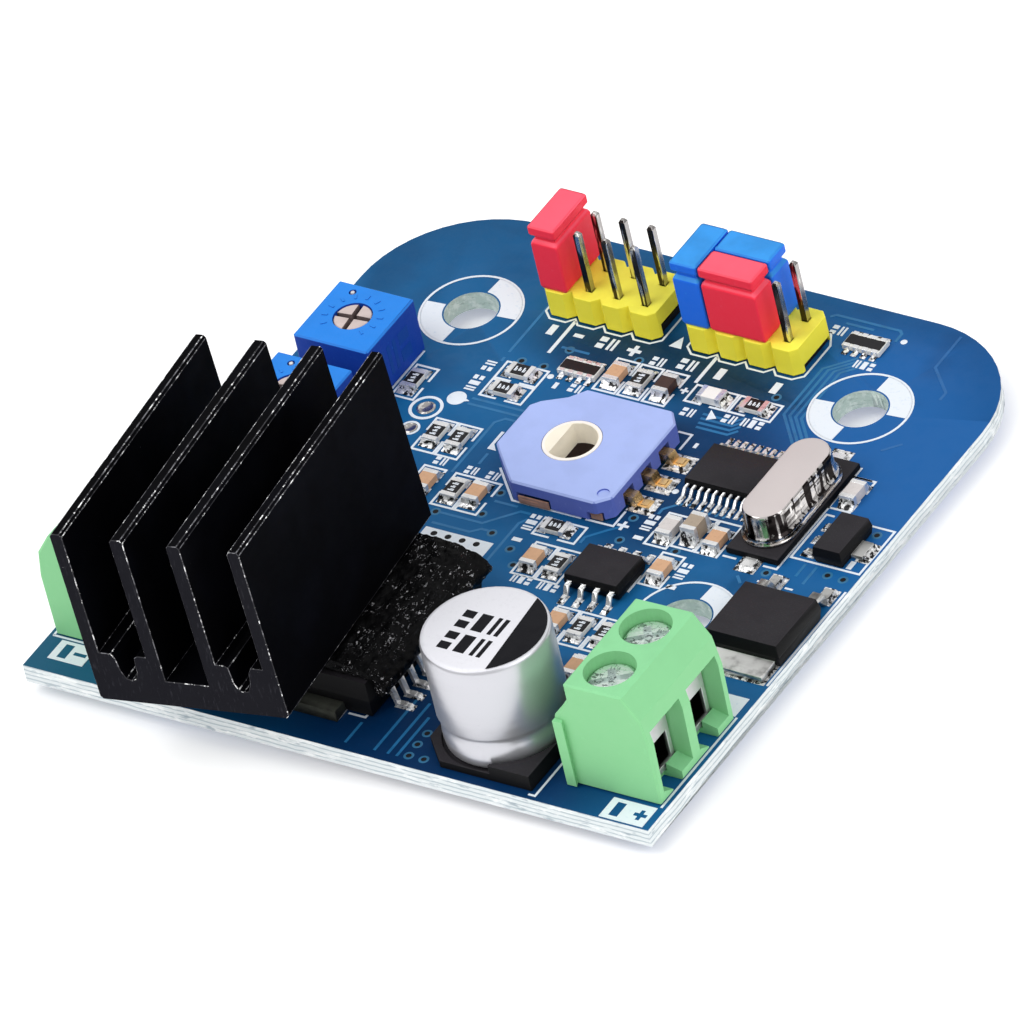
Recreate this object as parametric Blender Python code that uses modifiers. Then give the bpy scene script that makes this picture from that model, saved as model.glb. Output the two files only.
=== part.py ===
"""Servo driver board: a 56 x 58 mm control board with a through-shaft position sensor, a motor driver
under a finned heat sink, two wire terminals, two jumper headers and two trimmers.

Sizes below are millimetres in the board's own coordinates: x from the left edge, y from the front edge
and z from the top face of the board. part() turns them into metres, with the world origin at the centre
of the board's underside.
"""
import bpy
import bmesh
from math import acos, cos, degrees, pi, radians, sin, sqrt
from mathutils import Euler, Matrix, Vector

MM = 0.001
GAP = 0.05                      # clearance left where two pieces touch
RUN = 0.06                      # radial clearance of a piece that turns or slides

# board
BOARD_W, BOARD_D, BOARD_T = 56.0, 58.0, 1.6
BOARD_CORNER_R = 10.0
MOUNT_HOLES = [(10.5, 21.8), (45.6, 21.8), (10.5, 47.3), (45.6, 47.3)]
MOUNT_HOLE_R = 2.15
TAIL_Z = -BOARD_T - 1.2         # where the soldered tails end below the board

# pin headers and jumpers
PITCH = 2.54
HEADER_COLUMNS = 4
HEADER_ROWS_Y = (50.1, 52.64)
HEADER_H = 2.5
UNDERCUT = {"input": 1.1, "mode": 0.65}     # height of the channel below each strip's cut end
HEADER_FIRST_X = {"input": 17.58, "mode": 30.38}
PIN_HALF = 0.27
PIN_TOP = 8.1
JUMPER_L, JUMPER_W = 4.94, 2.42
JUMPER_TOP = 8.65
JUMPER_FOOT = HEADER_H + GAP

# wire terminals, drawn with the wire entry towards +x and the screw axis at x = 0
POLE_PITCH = 5.08
TERMINAL_W = 10.56
SUPPLY_AXIS_X, SUPPLY_Y = 51.5, 7.92
MOTOR_AXIS_X, MOTOR_Y = 4.6, 9.1
SCREW_HEAD_R, SCREW_SHANK_R = 1.9, 1.2
SCREW_HEAD_Z = (7.95, 9.1)
CAGE_X = (-1.5, 2.55)
CAGE_Z = (0.6, 5.7)
CAGE_HALF_Y = 1.9
CAGE_TRAVEL = 1.85

# heat sink
SINK_W, SINK_H, SINK_L = 16.2, 15.6, 24.35
SINK_CORNER = (11.31, -5.0, 4.01)
SINK_TILT = (-1.35, -4.09, 6.51)
FIN_T = 1.05
SINK_FLOOR = 2.35

# driver chip under the heat sink
DRIVER_X, DRIVER_Y = 23.9, 11.6
DRIVER_W, DRIVER_L, DRIVER_TOP = 11.0, 15.9, 3.35
DRIVER_SPAN = 14.2

# smoothing capacitor
CAP_X, CAP_Y, CAP_R = 40.1, 5.95, 5.0
CAP_TOP, CAP_FOOT = 10.3, 0.4

# position sensor
SENSOR_X, SENSOR_Y = 28.0, 34.7
SENSOR_TOP = 2.05
SENSOR_OUTLINE = [(22.45, 32.6), (22.5, 37.3), (23.1, 38.0), (24.9, 39.1), (25.9, 40.35), (33.55, 40.35),
                  (34.55, 39.1), (34.55, 30.0), (33.5, 29.0), (25.95, 29.05), (23.3, 31.7)]
ROTOR_R, SHAFT_R, SHAFT_FLAT = 2.3, 2.0, 1.0
SENSOR_PINS_Y = (32.0, 34.55, 37.1)

# trimmers
TRIMMER = 6.8
TRIMMER_H = 5.0
TRIMMERS = {"a": (2.85, 35.4), "b": (2.85, 26.6)}
TRIMMER_ROTOR = (3.35, 3.4)
TRIMMER_ROTOR_R = 1.5

FINISHES = {
    "solder_mask_blue": ((0.020, 0.120, 0.300), 0.35, 0.0),
    "black_anodised": ((0.006, 0.006, 0.008), 0.30, 0.6),
    "black_mould": ((0.030, 0.028, 0.030), 0.55, 0.0),
    "tin": ((0.75, 0.74, 0.72), 0.25, 1.0),
    "can_metal": ((0.72, 0.73, 0.76), 0.30, 0.9),
    "zinc": ((0.70, 0.72, 0.75), 0.35, 1.0),
    "terminal_green": ((0.300, 0.760, 0.330), 0.45, 0.0),
    "header_yellow": ((0.830, 0.740, 0.050), 0.45, 0.0),
    "jumper_red": ((0.740, 0.030, 0.060), 0.40, 0.0),
    "jumper_blue": ((0.015, 0.170, 0.620), 0.40, 0.0),
    "trimmer_blue": ((0.020, 0.260, 0.800), 0.45, 0.0),
    "rotor_cream": ((0.850, 0.790, 0.670), 0.50, 0.0),
    "sensor_lavender": ((0.380, 0.460, 0.850), 0.50, 0.0),
    "copper": ((0.720, 0.430, 0.250), 0.35, 1.0),
    "track_brown": ((0.160, 0.090, 0.050), 0.60, 0.0),
    "rubber_seal": ((0.030, 0.030, 0.030), 0.80, 0.0),
    "foil_roll": ((0.550, 0.540, 0.500), 0.50, 0.3),
}


# ------------------------------------------------------------------ shapes, all in millimetres
def start_scene():
    """Empty the scene and make the two collections."""
    for obj in list(bpy.data.objects):
        bpy.data.objects.remove(obj, do_unlink=True)
    made = []
    for name in ("servo_driver_board", "cutters"):
        collection = bpy.data.collections.new(name)
        bpy.context.scene.collection.children.link(collection)
        made.append(collection)
    return made


PARTS, CUTTERS = start_scene()


def tidy(mesh):
    """Weld doubled points, merge flat neighbours and turn the faces outwards."""
    work = bmesh.new()
    work.from_mesh(mesh)
    bmesh.ops.remove_doubles(work, verts=work.verts, dist=1e-4)
    bmesh.ops.dissolve_degenerate(work, edges=work.edges, dist=1e-5)
    bmesh.ops.dissolve_limit(work, angle_limit=radians(0.5), verts=work.verts, edges=work.edges)
    bmesh.ops.recalc_face_normals(work, faces=work.faces)
    work.to_mesh(mesh)
    work.free()
    return mesh


def evaluated(obj):
    """The object's mesh with its modifiers applied; the object is removed."""
    PARTS.objects.link(obj)
    graph = bpy.context.evaluated_depsgraph_get()
    graph.update()
    mesh = bpy.data.meshes.new_from_object(obj.evaluated_get(graph))
    bpy.data.objects.remove(obj, do_unlink=True)
    return tidy(mesh)


def from_bmesh(work):
    mesh = bpy.data.meshes.new("shape")
    work.to_mesh(mesh)
    work.free()
    return mesh


def block(x, y, z):
    """A box from three (low, high) pairs."""
    work = bmesh.new()
    centre = Vector(((x[0] + x[1]) / 2, (y[0] + y[1]) / 2, (z[0] + z[1]) / 2))
    size = Vector((x[1] - x[0], y[1] - y[0], z[1] - z[0]))
    bmesh.ops.create_cube(work, size=1.0, matrix=Matrix.Translation(centre) @ Matrix.Diagonal(size.to_4d()))
    return from_bmesh(work)


def rod(x, y, z, radius, sides=24, top_radius=None):
    """A cylinder or cone on a vertical axis between the two heights in z."""
    work = bmesh.new()
    low, high = z
    bmesh.ops.create_cone(work, cap_ends=True, segments=sides, radius1=radius,
                          radius2=radius if top_radius is None else top_radius, depth=high - low,
                          matrix=Matrix.Translation((x, y, (low + high) / 2)))
    return from_bmesh(work)


def slab(outline, z):
    """A flat outline in x and y, filled and given thickness between the two heights in z."""
    work = bmesh.new()
    base = work.faces.new([work.verts.new((px, py, z[0])) for px, py in outline])
    raised = bmesh.ops.extrude_face_region(work, geom=[base], use_keep_orig=True)["geom"]
    top = [item for item in raised if isinstance(item, bmesh.types.BMVert)]
    bmesh.ops.translate(work, verts=top, vec=(0.0, 0.0, z[1] - z[0]))
    bmesh.ops.recalc_face_normals(work, faces=work.faces)
    return from_bmesh(work)


def side_slab(outline, y):
    """A flat outline in x and z, given thickness along y."""
    mesh = slab(outline, (-y[1], -y[0]))
    mesh.transform(Matrix.Rotation(pi / 2, 4, "X"))
    return mesh


def end_slab(outline, x):
    """A flat outline in y and z, given thickness along x."""
    mesh = slab(outline, x)
    mesh.transform(Matrix(((0, 0, 1, 0), (1, 0, 0, 0), (0, 1, 0, 0), (0, 0, 0, 1))))
    return mesh


def turned(profile, sides=32):
    """A profile of (radius, z) points, turned once round the z axis, down its outer side."""
    closed = profile[0][0] > 0
    count = len(profile)
    edges = [(i, i + 1) for i in range(count - 1)]
    if closed:
        edges.append((count - 1, 0))
    mesh = bpy.data.meshes.new("profile")
    mesh.from_pydata([(r, 0.0, z) for r, z in profile], edges, [])
    obj = bpy.data.objects.new("profile", mesh)
    screw = obj.modifiers.new("turn", "SCREW")
    screw.angle = 2 * pi
    screw.steps = sides
    screw.render_steps = sides
    screw.use_merge_vertices = True
    screw.merge_threshold = 0.0001
    return evaluated(obj)


def squared(profile, size_x, size_y):
    """A box with a side profile: (inset, z) points from the middle of its top to that of its bottom.

    The profile is turned in four steps and then stretched, so that each side keeps the same insets.
    """
    half = min(size_x, size_y) / 2
    points = [(0.0, profile[0][1])]
    points += [((half - inset) * sqrt(2), z) for inset, z in profile]
    points.append((0.0, profile[-1][1]))
    mesh = turned(points, sides=4)
    mesh.transform(Matrix.Rotation(pi / 4, 4, "Z"))
    for vertex in mesh.vertices:
        vertex.co.x += (size_x / 2 - half) * (1 if vertex.co.x > 0 else -1)
        vertex.co.y += (size_y / 2 - half) * (1 if vertex.co.y > 0 else -1)
    return mesh


def at(mesh, x=0.0, y=0.0, z=0.0, turn=0.0):
    """A copy of a mesh, turned about z by degrees and then moved."""
    copy = mesh.copy()
    copy.transform(Matrix.Translation((x, y, z)) @ Matrix.Rotation(radians(turn), 4, "Z"))
    return copy


def arc(cx, cy, radius, start, end, steps):
    """Points on an arc, by degrees."""
    angles = [radians(start + (end - start) * i / steps) for i in range(steps + 1)]
    return [(cx + radius * cos(a), cy + radius * sin(a)) for a in angles]


# ------------------------------------------------------------------ objects
def board_point(x, y, z):
    """Board coordinates in millimetres to world metres."""
    return Vector((x - BOARD_W / 2, y - BOARD_D / 2, z + BOARD_T)) * MM


def finish_material(name):
    found = bpy.data.materials.get(name)
    if found:
        return found
    colour, roughness, metallic = FINISHES[name]
    material = bpy.data.materials.new(name)
    material.use_nodes = True
    shader = material.node_tree.nodes["Principled BSDF"]
    shader.inputs["Base Color"].default_value = (*colour, 1.0)
    shader.inputs["Roughness"].default_value = roughness
    shader.inputs["Metallic"].default_value = metallic
    material.diffuse_color = (*colour, 1.0)
    return material


def joined(meshes, origin):
    """One mesh in metres, measured from the origin, out of several in board coordinates."""
    work = bmesh.new()
    for mesh in meshes:
        work.from_mesh(mesh)
    bmesh.ops.translate(work, verts=work.verts, vec=-Vector(origin))
    bmesh.ops.scale(work, verts=work.verts, vec=(MM, MM, MM))
    return from_bmesh(work)


def part(name, mesh, finish, origin=(0.0, 0.0, 0.0), joins=(), cutters=(), bevel=0.0, smooth=True):
    """A named sub-part from a mesh in board coordinates, bevelled, then joined to others and cut."""
    obj = bpy.data.objects.new(name, joined([mesh], origin))
    obj.data.name = name
    obj.location = board_point(*origin)
    obj.data.materials.append(finish_material(finish))
    PARTS.objects.link(obj)
    if smooth:
        obj.data.shade_smooth()
        obj.data.set_sharp_from_angle(angle=radians(35))
    if bevel:
        edge = obj.modifiers.new("edges", "BEVEL")
        edge.width = bevel * MM
        edge.segments = 1
        edge.limit_method = "ANGLE"
        edge.angle_limit = radians(40)
    for index, group in enumerate(joins):
        combine(obj, group, f"{name}_join_{index}", origin, "UNION")
    for index, group in enumerate(cutters):
        combine(obj, group, f"{name}_cut_{index}", origin, "DIFFERENCE")
    return obj


def combine(obj, meshes, name, origin, operation):
    """Join to an object, or take out of it, closed shapes that don't touch each other."""
    cutter = bpy.data.objects.new(name, joined(meshes, origin))
    cutter.location = obj.location
    cutter.rotation_euler = obj.rotation_euler
    cutter.hide_render = True
    cutter.display_type = "WIRE"
    CUTTERS.objects.link(cutter)
    boolean = obj.modifiers.new(name, "BOOLEAN")
    boolean.operation = operation
    boolean.solver = "EXACT"
    boolean.object = cutter


# ------------------------------------------------------------------ where the soldered pins go through
def header_pin_places(side):
    first = HEADER_FIRST_X[side]
    return [(first + PITCH * column, y) for column in range(HEADER_COLUMNS) for y in HEADER_ROWS_Y]


def trimmer_pin_places(key):
    x, y = TRIMMERS[key]
    rx, ry = TRIMMER_ROTOR
    return [(x + rx - PITCH, y + ry), (x + rx, y + ry - PITCH), (x + rx + PITCH, y + ry)]


CONTACT_X = (-2.4, -1.9)        # the terminal contact's leg, from the screw axis away from the wire


def pole_places(side):
    """The screw axis of each pole, with the direction of its wire entry."""
    centre, axis, facing = {"supply": (SUPPLY_Y, SUPPLY_AXIS_X, 1), "motor": (MOTOR_Y, MOTOR_AXIS_X, -1)}[side]
    return [(axis, centre - POLE_PITCH / 2, facing), (axis, centre + POLE_PITCH / 2, facing)]


def contact_leg_places():
    middle = sum(CONTACT_X) / 2
    return [(x + facing * middle, y) for side in ("supply", "motor") for x, y, facing in pole_places(side)]


def all_header_pins():
    return header_pin_places("input") + header_pin_places("mode")


def all_trimmer_pins():
    return trimmer_pin_places("a") + trimmer_pin_places("b")


def make_board():
    r = BOARD_CORNER_R
    outline = [(0.0, 0.0), (BOARD_W, 0.0)]
    outline += arc(BOARD_W - r, BOARD_D - r, r, 0, 90, 12)
    outline += arc(r, BOARD_D - r, r, 90, 180, 12)
    through = (-BOARD_T - 1, 1.0)
    holes = [rod(x, y, through, MOUNT_HOLE_R, 32) for x, y in MOUNT_HOLES]
    holes.append(rod(SENSOR_X, SENSOR_Y, through, ROTOR_R, 24))
    holes += [rod(x, y, through, 0.55, 8) for x, y in all_header_pins()]
    holes += [rod(x, y, through, 0.8, 8) for x, y in contact_leg_places()]
    holes += [rod(x, y, through, 0.4, 8) for x, y in all_trimmer_pins()]
    part("board", slab(outline, (-BOARD_T, 0.0)), "solder_mask_blue", cutters=[holes])


# ------------------------------------------------------------------ headers and jumpers
def make_header(side):
    first = HEADER_FIRST_X[side]
    half, notch = PITCH / 2, 0.55
    low, high = HEADER_ROWS_Y[0] - half, HEADER_ROWS_Y[1] + half
    front, back = [], []
    for column in range(HEADER_COLUMNS):
        x = first + PITCH * column
        front += [(x - half + GAP / 4, low + notch), (x - half + notch, low), (x + half - notch, low)]
        back += [(x - half + notch, high), (x + half - notch, high), (x + half - GAP / 4, high - notch)]
    front.append((first + PITCH * HEADER_COLUMNS - half, low + notch))
    back.insert(0, (first - half, high - notch))
    outline = front + back[::-1]
    hole = PIN_HALF + RUN / 2
    holes = [block((x - hole, x + hole), (y - hole, y + hole), (-1, HEADER_H + 1))
             for x, y in header_pin_places(side)]
    end = first + PITCH * HEADER_COLUMNS - half
    undercut = block((end - 0.75, end + 1), (low + 0.85, high - 0.5), (-1, UNDERCUT[side]))
    part(f"header_base_{side}", slab(outline, (GAP, HEADER_H)), "header_yellow", cutters=[holes, [undercut]])


def make_header_pins(side):
    size = 2 * PIN_HALF
    pin = squared([(0.13, PIN_TOP), (0.0, PIN_TOP - 0.22), (0.0, TAIL_Z + 0.4), (0.15, TAIL_Z)], size, size)
    for number, (x, y) in enumerate(header_pin_places(side), 1):
        part(f"header_pin_{side}_{number}", at(pin, x, y), "tin", (x, y, 0.0))


def make_jumper(name, x, y, turn, finish):
    """A handle-type jumper over two pins, lying along y before it is turned."""
    foot = JUMPER_FOOT
    body = squared([(0.12, JUMPER_TOP), (0.0, JUMPER_TOP - 0.14), (0.0, 7.85), (0.3, 7.55), (0.3, 7.3),
                    (0.0, 7.0), (0.0, foot + 0.3), (0.1, foot)], JUMPER_W, JUMPER_L)
    hole = PIN_HALF + RUN
    sockets = [block((-hole, hole), (py - hole, py + hole), (foot - 1, PIN_TOP + RUN))
               for py in (-PITCH / 2, PITCH / 2)]
    part(name, at(body, x, y, turn=turn), finish, (x, y, foot),
         cutters=[[at(socket, x, y, turn=turn) for socket in sockets]])


def make_jumpers():
    middle_y = sum(HEADER_ROWS_Y) / 2
    pair_x = HEADER_FIRST_X["mode"] + 1.5 * PITCH
    make_jumper("jumper_input", HEADER_FIRST_X["input"], middle_y, 0, "jumper_red")
    make_jumper("jumper_mode_side", HEADER_FIRST_X["mode"], middle_y, 0, "jumper_blue")
    make_jumper("jumper_mode_back", pair_x, HEADER_ROWS_Y[1], 90, "jumper_blue")
    make_jumper("jumper_mode_front", pair_x, HEADER_ROWS_Y[0], 90, "jumper_red")


# ------------------------------------------------------------------ wire terminals
CHAMBER_X = (-2.5, 2.7)
CHAMBER_TOP = CAGE_Z[1] + CAGE_TRAVEL + GAP
ENTRY_HALF = 2.05
TONGUE_Z = (3.0, 3.5)


def terminal_shape(facing):
    """Mesh maker for shapes drawn with the wire entry towards +x."""
    def place(mesh, x, y):
        return at(mesh, x, y, turn=0 if facing > 0 else 180)
    return place


def make_terminal(side):
    poles = pole_places(side)
    axis, _, facing = poles[0]
    centre_y = (poles[0][1] + poles[1][1]) / 2
    place = terminal_shape(facing)
    outline = [(-4.1, GAP), (4.05, GAP), (4.2, 5.7), (3.85, 8.1), (2.5, 10.1), (-2.6, 10.0), (-2.6, 8.4),
               (-3.3, 7.4), (-4.1, 6.5)]
    half, inside = TERMINAL_W / 2 - GAP, ENTRY_HALF - 0.02
    housing = side_slab(outline, (-half, half))
    key = slab([(-4.05, -half + 0.3), (-4.05, -half - 0.35), (-3.2, -half - 0.35), (-3.45, -half + 0.3)], (0.1, 6.3))
    chambers, entries, bores, notches, slots = [], [], [], [], []
    for x, y, _ in poles:
        chamber = block(CHAMBER_X, (-ENTRY_HALF, ENTRY_HALF), (0.5, CHAMBER_TOP))
        entry = side_slab([(CHAMBER_X[1] - 0.4, 1.35), (4.5, 0.75), (4.5, 6.7), (CHAMBER_X[1] - 0.4, 6.7)],
                          (-inside - 0.01, inside + 0.01))
        bore = turned([(0.0, 10.6), (SCREW_HEAD_R + 0.14, 10.6), (SCREW_HEAD_R + 0.14, SCREW_HEAD_Z[0] - GAP),
                       (SCREW_SHANK_R + 0.3, SCREW_HEAD_Z[0] - GAP), (SCREW_SHANK_R + 0.3, 6.5), (0.0, 6.5)])
        notch = end_slab([(0.46, -0.5), (0.46, 1.7), (-inside, 1.7), (-inside, 0.95), (-0.95, 0.33), (-0.95, -0.5)],
                         (CHAMBER_X[1] - 0.4, 4.6))
        slot = block((CONTACT_X[0] - GAP, CONTACT_X[1] + GAP), (-0.6 - GAP, 0.6 + GAP), (-0.5, 0.8))
        for group, mesh in ((chambers, chamber), (entries, entry), (bores, bore), (notches, notch), (slots, slot)):
            group.append(place(mesh, x, y))
    part(f"terminal_housing_{side}", place(housing, axis, centre_y), "terminal_green",
         joins=[[place(key, axis, centre_y)]], cutters=[chambers, entries, bores, notches, slots], bevel=0.16)

    contact = [(CONTACT_X[0], TAIL_Z), (CONTACT_X[1], TAIL_Z), (CONTACT_X[1], TONGUE_Z[0]), (2.2, TONGUE_Z[0]),
               (2.2, TONGUE_Z[1]), (CONTACT_X[0], TONGUE_Z[1])]
    strip = side_slab(contact, (-0.6, 0.6))
    for number, (x, y, _) in enumerate(poles, 1):
        part(f"terminal_contact_{side}_{number}", place(strip, x, y), "tin", (x, y, 0.0))
        make_clamp(f"{side}_{number}", x, y, place)


def make_clamp(label, x, y, place):
    """One pole's screw and the cage that it lifts."""
    low, high = SCREW_HEAD_Z
    screw = turned([(0.0, high), (SCREW_HEAD_R - 0.25, high), (SCREW_HEAD_R, high - 0.2), (SCREW_HEAD_R, low),
                    (SCREW_SHANK_R, low), (SCREW_SHANK_R, 4.1), (SCREW_SHANK_R - 0.3, 3.8), (0.0, 3.8)], 28)
    slot = block((-2.2, 2.2), (-0.28, 0.28), (high - 0.6, high + 1))
    cross = block((-0.3, 0.3), (-1.15, 1.15), (high - 0.6, high + 1))
    part(f"terminal_screw_{label}", at(screw, x, y), "zinc", (x, y, low),
         cutters=[[at(slot, x, y, turn=35)], [at(cross, x, y, turn=35)]])
    cage = block(CAGE_X, (-CAGE_HALF_Y, CAGE_HALF_Y), CAGE_Z)
    window = block((CAGE_X[0] - 1, CAGE_X[1] + 1), (-1.5, 1.5), (1.1, 3.6))
    thread = rod(0, 0, (3.2, CAGE_Z[1] + 1), SCREW_SHANK_R + RUN, 28)
    part(f"terminal_cage_{label}", place(cage, x, y), "zinc", (x, y, CAGE_Z[0]),
         cutters=[[place(window, x, y)], [at(thread, x, y)]])


# ------------------------------------------------------------------ heat sink and driver chip
def make_heat_sink():
    w, h, floor = SINK_W, SINK_H, SINK_FLOOR
    shoulder = 4.5
    inner = 5.1                                      # where the second fin starts

    def pocket(start, direction):
        """A round-bottomed clip groove between two shoulders, from its outer side."""
        points = [(0.0, shoulder), (1.0, shoulder), (1.3, 4.0), (1.45, 2.9), (1.75, 2.25), (2.2, 2.1), (2.6, 2.3),
                  (2.85, 2.9), (2.95, 4.3), (3.3, shoulder), (4.0, shoulder)]
        return [(start + direction * px, pz) for px, pz in points]

    def tip(start, end):
        """The rounded top of a fin."""
        return [(start, h - 0.25), (start + 0.2, h), (end - 0.2, h), (end, h - 0.25)]

    left = [(0.0, 0.25)] + tip(0.0, FIN_T) + pocket(FIN_T + 0.05, 1) + tip(inner, inner + FIN_T + 0.1)
    left.append((inner + FIN_T + 0.1, floor))
    right = [(w - x, z) for x, z in reversed(left)]
    outline = [(0.25, 0.0)] + left + right + [(w - 0.25, 0.0)]
    obj = part("heat_sink", side_slab(outline[::-1], (0.0, SINK_L)), "black_anodised")
    obj.location = board_point(*SINK_CORNER)
    obj.rotation_euler = Euler([radians(a) for a in SINK_TILT], "XYZ")
    return obj


def make_adhesive(sink):
    """The heat-conducting glue between the chip and the heat sink, with a bead along the right side."""
    low, side = DRIVER_TOP + GAP, DRIVER_X + DRIVER_W / 2
    bead = [(side + 0.15, low), (side + 0.15, 2.2), (side + 0.9, 2.1), (side + 1.35, 2.5), (side + 1.3, 3.1),
            (side + 0.5, 3.9), (side - 1.2, 4.5), (19.2, 4.9), (19.2, low)]
    obj = part("thermal_adhesive", side_slab(bead[::-1], (4.2, 19.3)), "black_mould", smooth=False)
    clearance = block((-1, SINK_W + GAP), (-1, SINK_L + 1), (-GAP, SINK_H + 5))
    combine(obj, [clearance], "adhesive_bed", (0, 0, 0), "DIFFERENCE")
    bed = bpy.data.objects["adhesive_bed"]
    bed.location = sink.location
    bed.rotation_euler = sink.rotation_euler


def gull_wing(inner, toe, height, thick, foot):
    """Side outline of a bent lead, from the body at x = inner to its toe on the board at x = toe."""
    bend = toe - foot
    knee = inner + (bend - inner) * 0.55
    return [(inner, height), (knee, height), (bend - thick * 0.3, GAP), (toe, GAP), (toe, GAP + thick),
            (bend + thick * 0.5, GAP + thick), (knee + thick, height + thick), (inner, height + thick)]


def lead_rows(lead, cx, cy, count, pitch, along_x):
    """Copies of a lead in two rows, one on each side of a body at (cx, cy)."""
    leads = []
    for i in range(count):
        offset = (i - (count - 1) / 2) * pitch
        if along_x:
            leads += [at(lead, cx + offset, cy, turn=90), at(lead, cx + offset, cy, turn=-90)]
        else:
            leads += [at(lead, cx, cy + offset, turn=0), at(lead, cx, cy + offset, turn=180)]
    return leads


def moulded(cx, cy, size_x, size_y, low, high, draft):
    """A moulded chip body, widest at its parting line."""
    middle = (low + high) / 2
    body = squared([(draft, high), (0.0, middle + 0.05), (0.0, middle - 0.05), (draft, low)], size_x, size_y)
    return at(body, cx, cy)


BURIED = 0.25                   # how far a lead reaches into the moulding


def make_driver():
    """The motor driver: moulding, ten leads a side and the metal slug that shows at both ends."""
    x, y = DRIVER_X, DRIVER_Y
    reach = DRIVER_L / 2 + 1.1
    slug = block((x - 2.9, x + 2.9), (y - reach, y + reach), (GAP, 1.05))
    lead = side_slab(gull_wing(DRIVER_W / 2 - BURIED, DRIVER_SPAN / 2, 1.55, 0.27, 0.85), (-0.24, 0.24))
    part("driver_chip", moulded(x, y, DRIVER_W, DRIVER_L, 0.2, DRIVER_TOP, 0.25), "black_mould",
         joins=[[slug], lead_rows(lead, x, y, 10, 1.27, along_x=False)])


def make_small_chips():
    x, y = 41.0, 36.95
    lead = side_slab(gull_wing(2.2 - BURIED, 3.65, 0.5, 0.14, 0.55), (-0.11, 0.11))
    part("controller_chip", moulded(x, y, 6.5, 4.4, 0.12, 1.05, 0.08), "black_mould",
         joins=[lead_rows(lead, x, y, 10, 0.65, along_x=True)])
    x, y = 37.6, 23.6
    lead = side_slab(gull_wing(1.95 - BURIED, 3.2, 0.72, 0.2, 0.5), (-0.2, 0.2))
    part("amplifier_chip", moulded(x, y, 4.9, 3.9, 0.15, 1.5, 0.12), "black_mould",
         joins=[lead_rows(lead, x, y, 4, 1.27, along_x=True)])


# ------------------------------------------------------------------ power parts
def make_capacitor():
    x, y, r = CAP_X, CAP_Y, CAP_R
    skin, floor = 0.3, CAP_FOOT + GAP
    neck, wall = r - 0.75, floor + 3.3
    can = turned([(0.0, CAP_TOP), (r - 0.45, CAP_TOP), (r - 0.12, CAP_TOP - 0.15), (r, CAP_TOP - 0.45),
                  (r, floor + 3.2), (r - 0.18, floor + 2.9), (r - 0.3, floor + 2.5), (r - 0.2, floor + 2.1),
                  (r - 0.12, floor + 1.2), (r - 0.2, floor + 0.35), (r - 0.5, floor), (neck, floor),
                  (neck, wall), (r - skin, wall + 0.35), (r - skin, CAP_TOP - skin), (0.0, CAP_TOP - skin)], 48)
    part("capacitor_can", at(can, x, y), "can_metal")
    half, chamfer, base_top = 5.15, 2.2, 1.45
    leg_x, leg_y, clear = (0.75, 1.25), 0.3, GAP
    holes = [at(block((leg_x[0] - clear, leg_x[1] + clear), (-leg_y - clear, leg_y + clear), (0.0, wall + 1)),
                x, y, turn=t) for t in (0, 180)]
    seal = rod(x, y, (floor + 0.1, wall - 0.05), neck - GAP, 32)
    part("capacitor_seal", seal, "rubber_seal", cutters=[holes])
    roll = rod(x, y, (wall + 0.35 + GAP, CAP_TOP - skin - 0.2), r - skin - GAP, 32)
    foot = [(leg_x[0], 0.05), (half + 0.8, 0.05), (half + 0.8, 0.19), (leg_x[1], 0.19), (leg_x[1], wall + 0.8),
            (leg_x[0], wall + 0.8)]
    feet = [at(side_slab(foot, (-leg_y, leg_y)), x, y, turn=t) for t in (0, 180)]
    part("capacitor_winding", roll, "foil_roll", joins=[feet])
    outline = [(-half + chamfer, -half), (half, -half), (half, half), (-half + chamfer, half),
               (-half, half - chamfer), (-half, -half + chamfer)]
    well = rod(x, y, (CAP_FOOT, base_top + 1), r + 0.06, 40)
    low_side = block((x - half - 1, x + 1.5), (y - half - 1, y + half + 1), (CAP_FOOT + 0.3, base_top + 1))
    grooves = [at(block((leg_x[0] - clear, half + 1), (-leg_y - clear, leg_y + clear), (-0.5, 0.24)), x, y, turn=t)
               for t in (0, 180)]
    part("capacitor_base", at(slab(outline, (GAP, base_top)), x, y), "black_mould",
         cutters=[[well], [low_side], grooves, holes])


def make_crystal():
    x, y, length = 47.1, 35.25, 11.9
    reach = length / 2
    pads = [at(block((-0.5, 0.5), (reach - 0.5, reach + 0.9), (0.05, 0.25)), x, y, turn=t) for t in (0, 180)]
    base = squared([(0.1, 0.7), (0.0, 0.6), (0.0, 0.12)], 4.65, length)
    part("crystal_base", at(base, x, y), "black_mould", joins=[pads])
    low, high, run = 0.7 + GAP, 3.4, 3.05
    can = turned([(0.0, high), (1.5, high), (1.7, high - 0.08), (1.82, high - 0.3), (1.85, low + 0.75),
                  (2.02, low + 0.6), (2.12, low + 0.45), (2.04, low + 0.3), (2.24, low + 0.2), (2.24, low),
                  (0.0, low)], 40)
    for vertex in can.vertices:
        if abs(vertex.co.y) > 1e-4 or abs(vertex.co.x) > 1e-4:
            vertex.co.y += run * (1 if vertex.co.y > 0 else -1)
    part("crystal_can", at(can, x, y), "can_metal")


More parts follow.
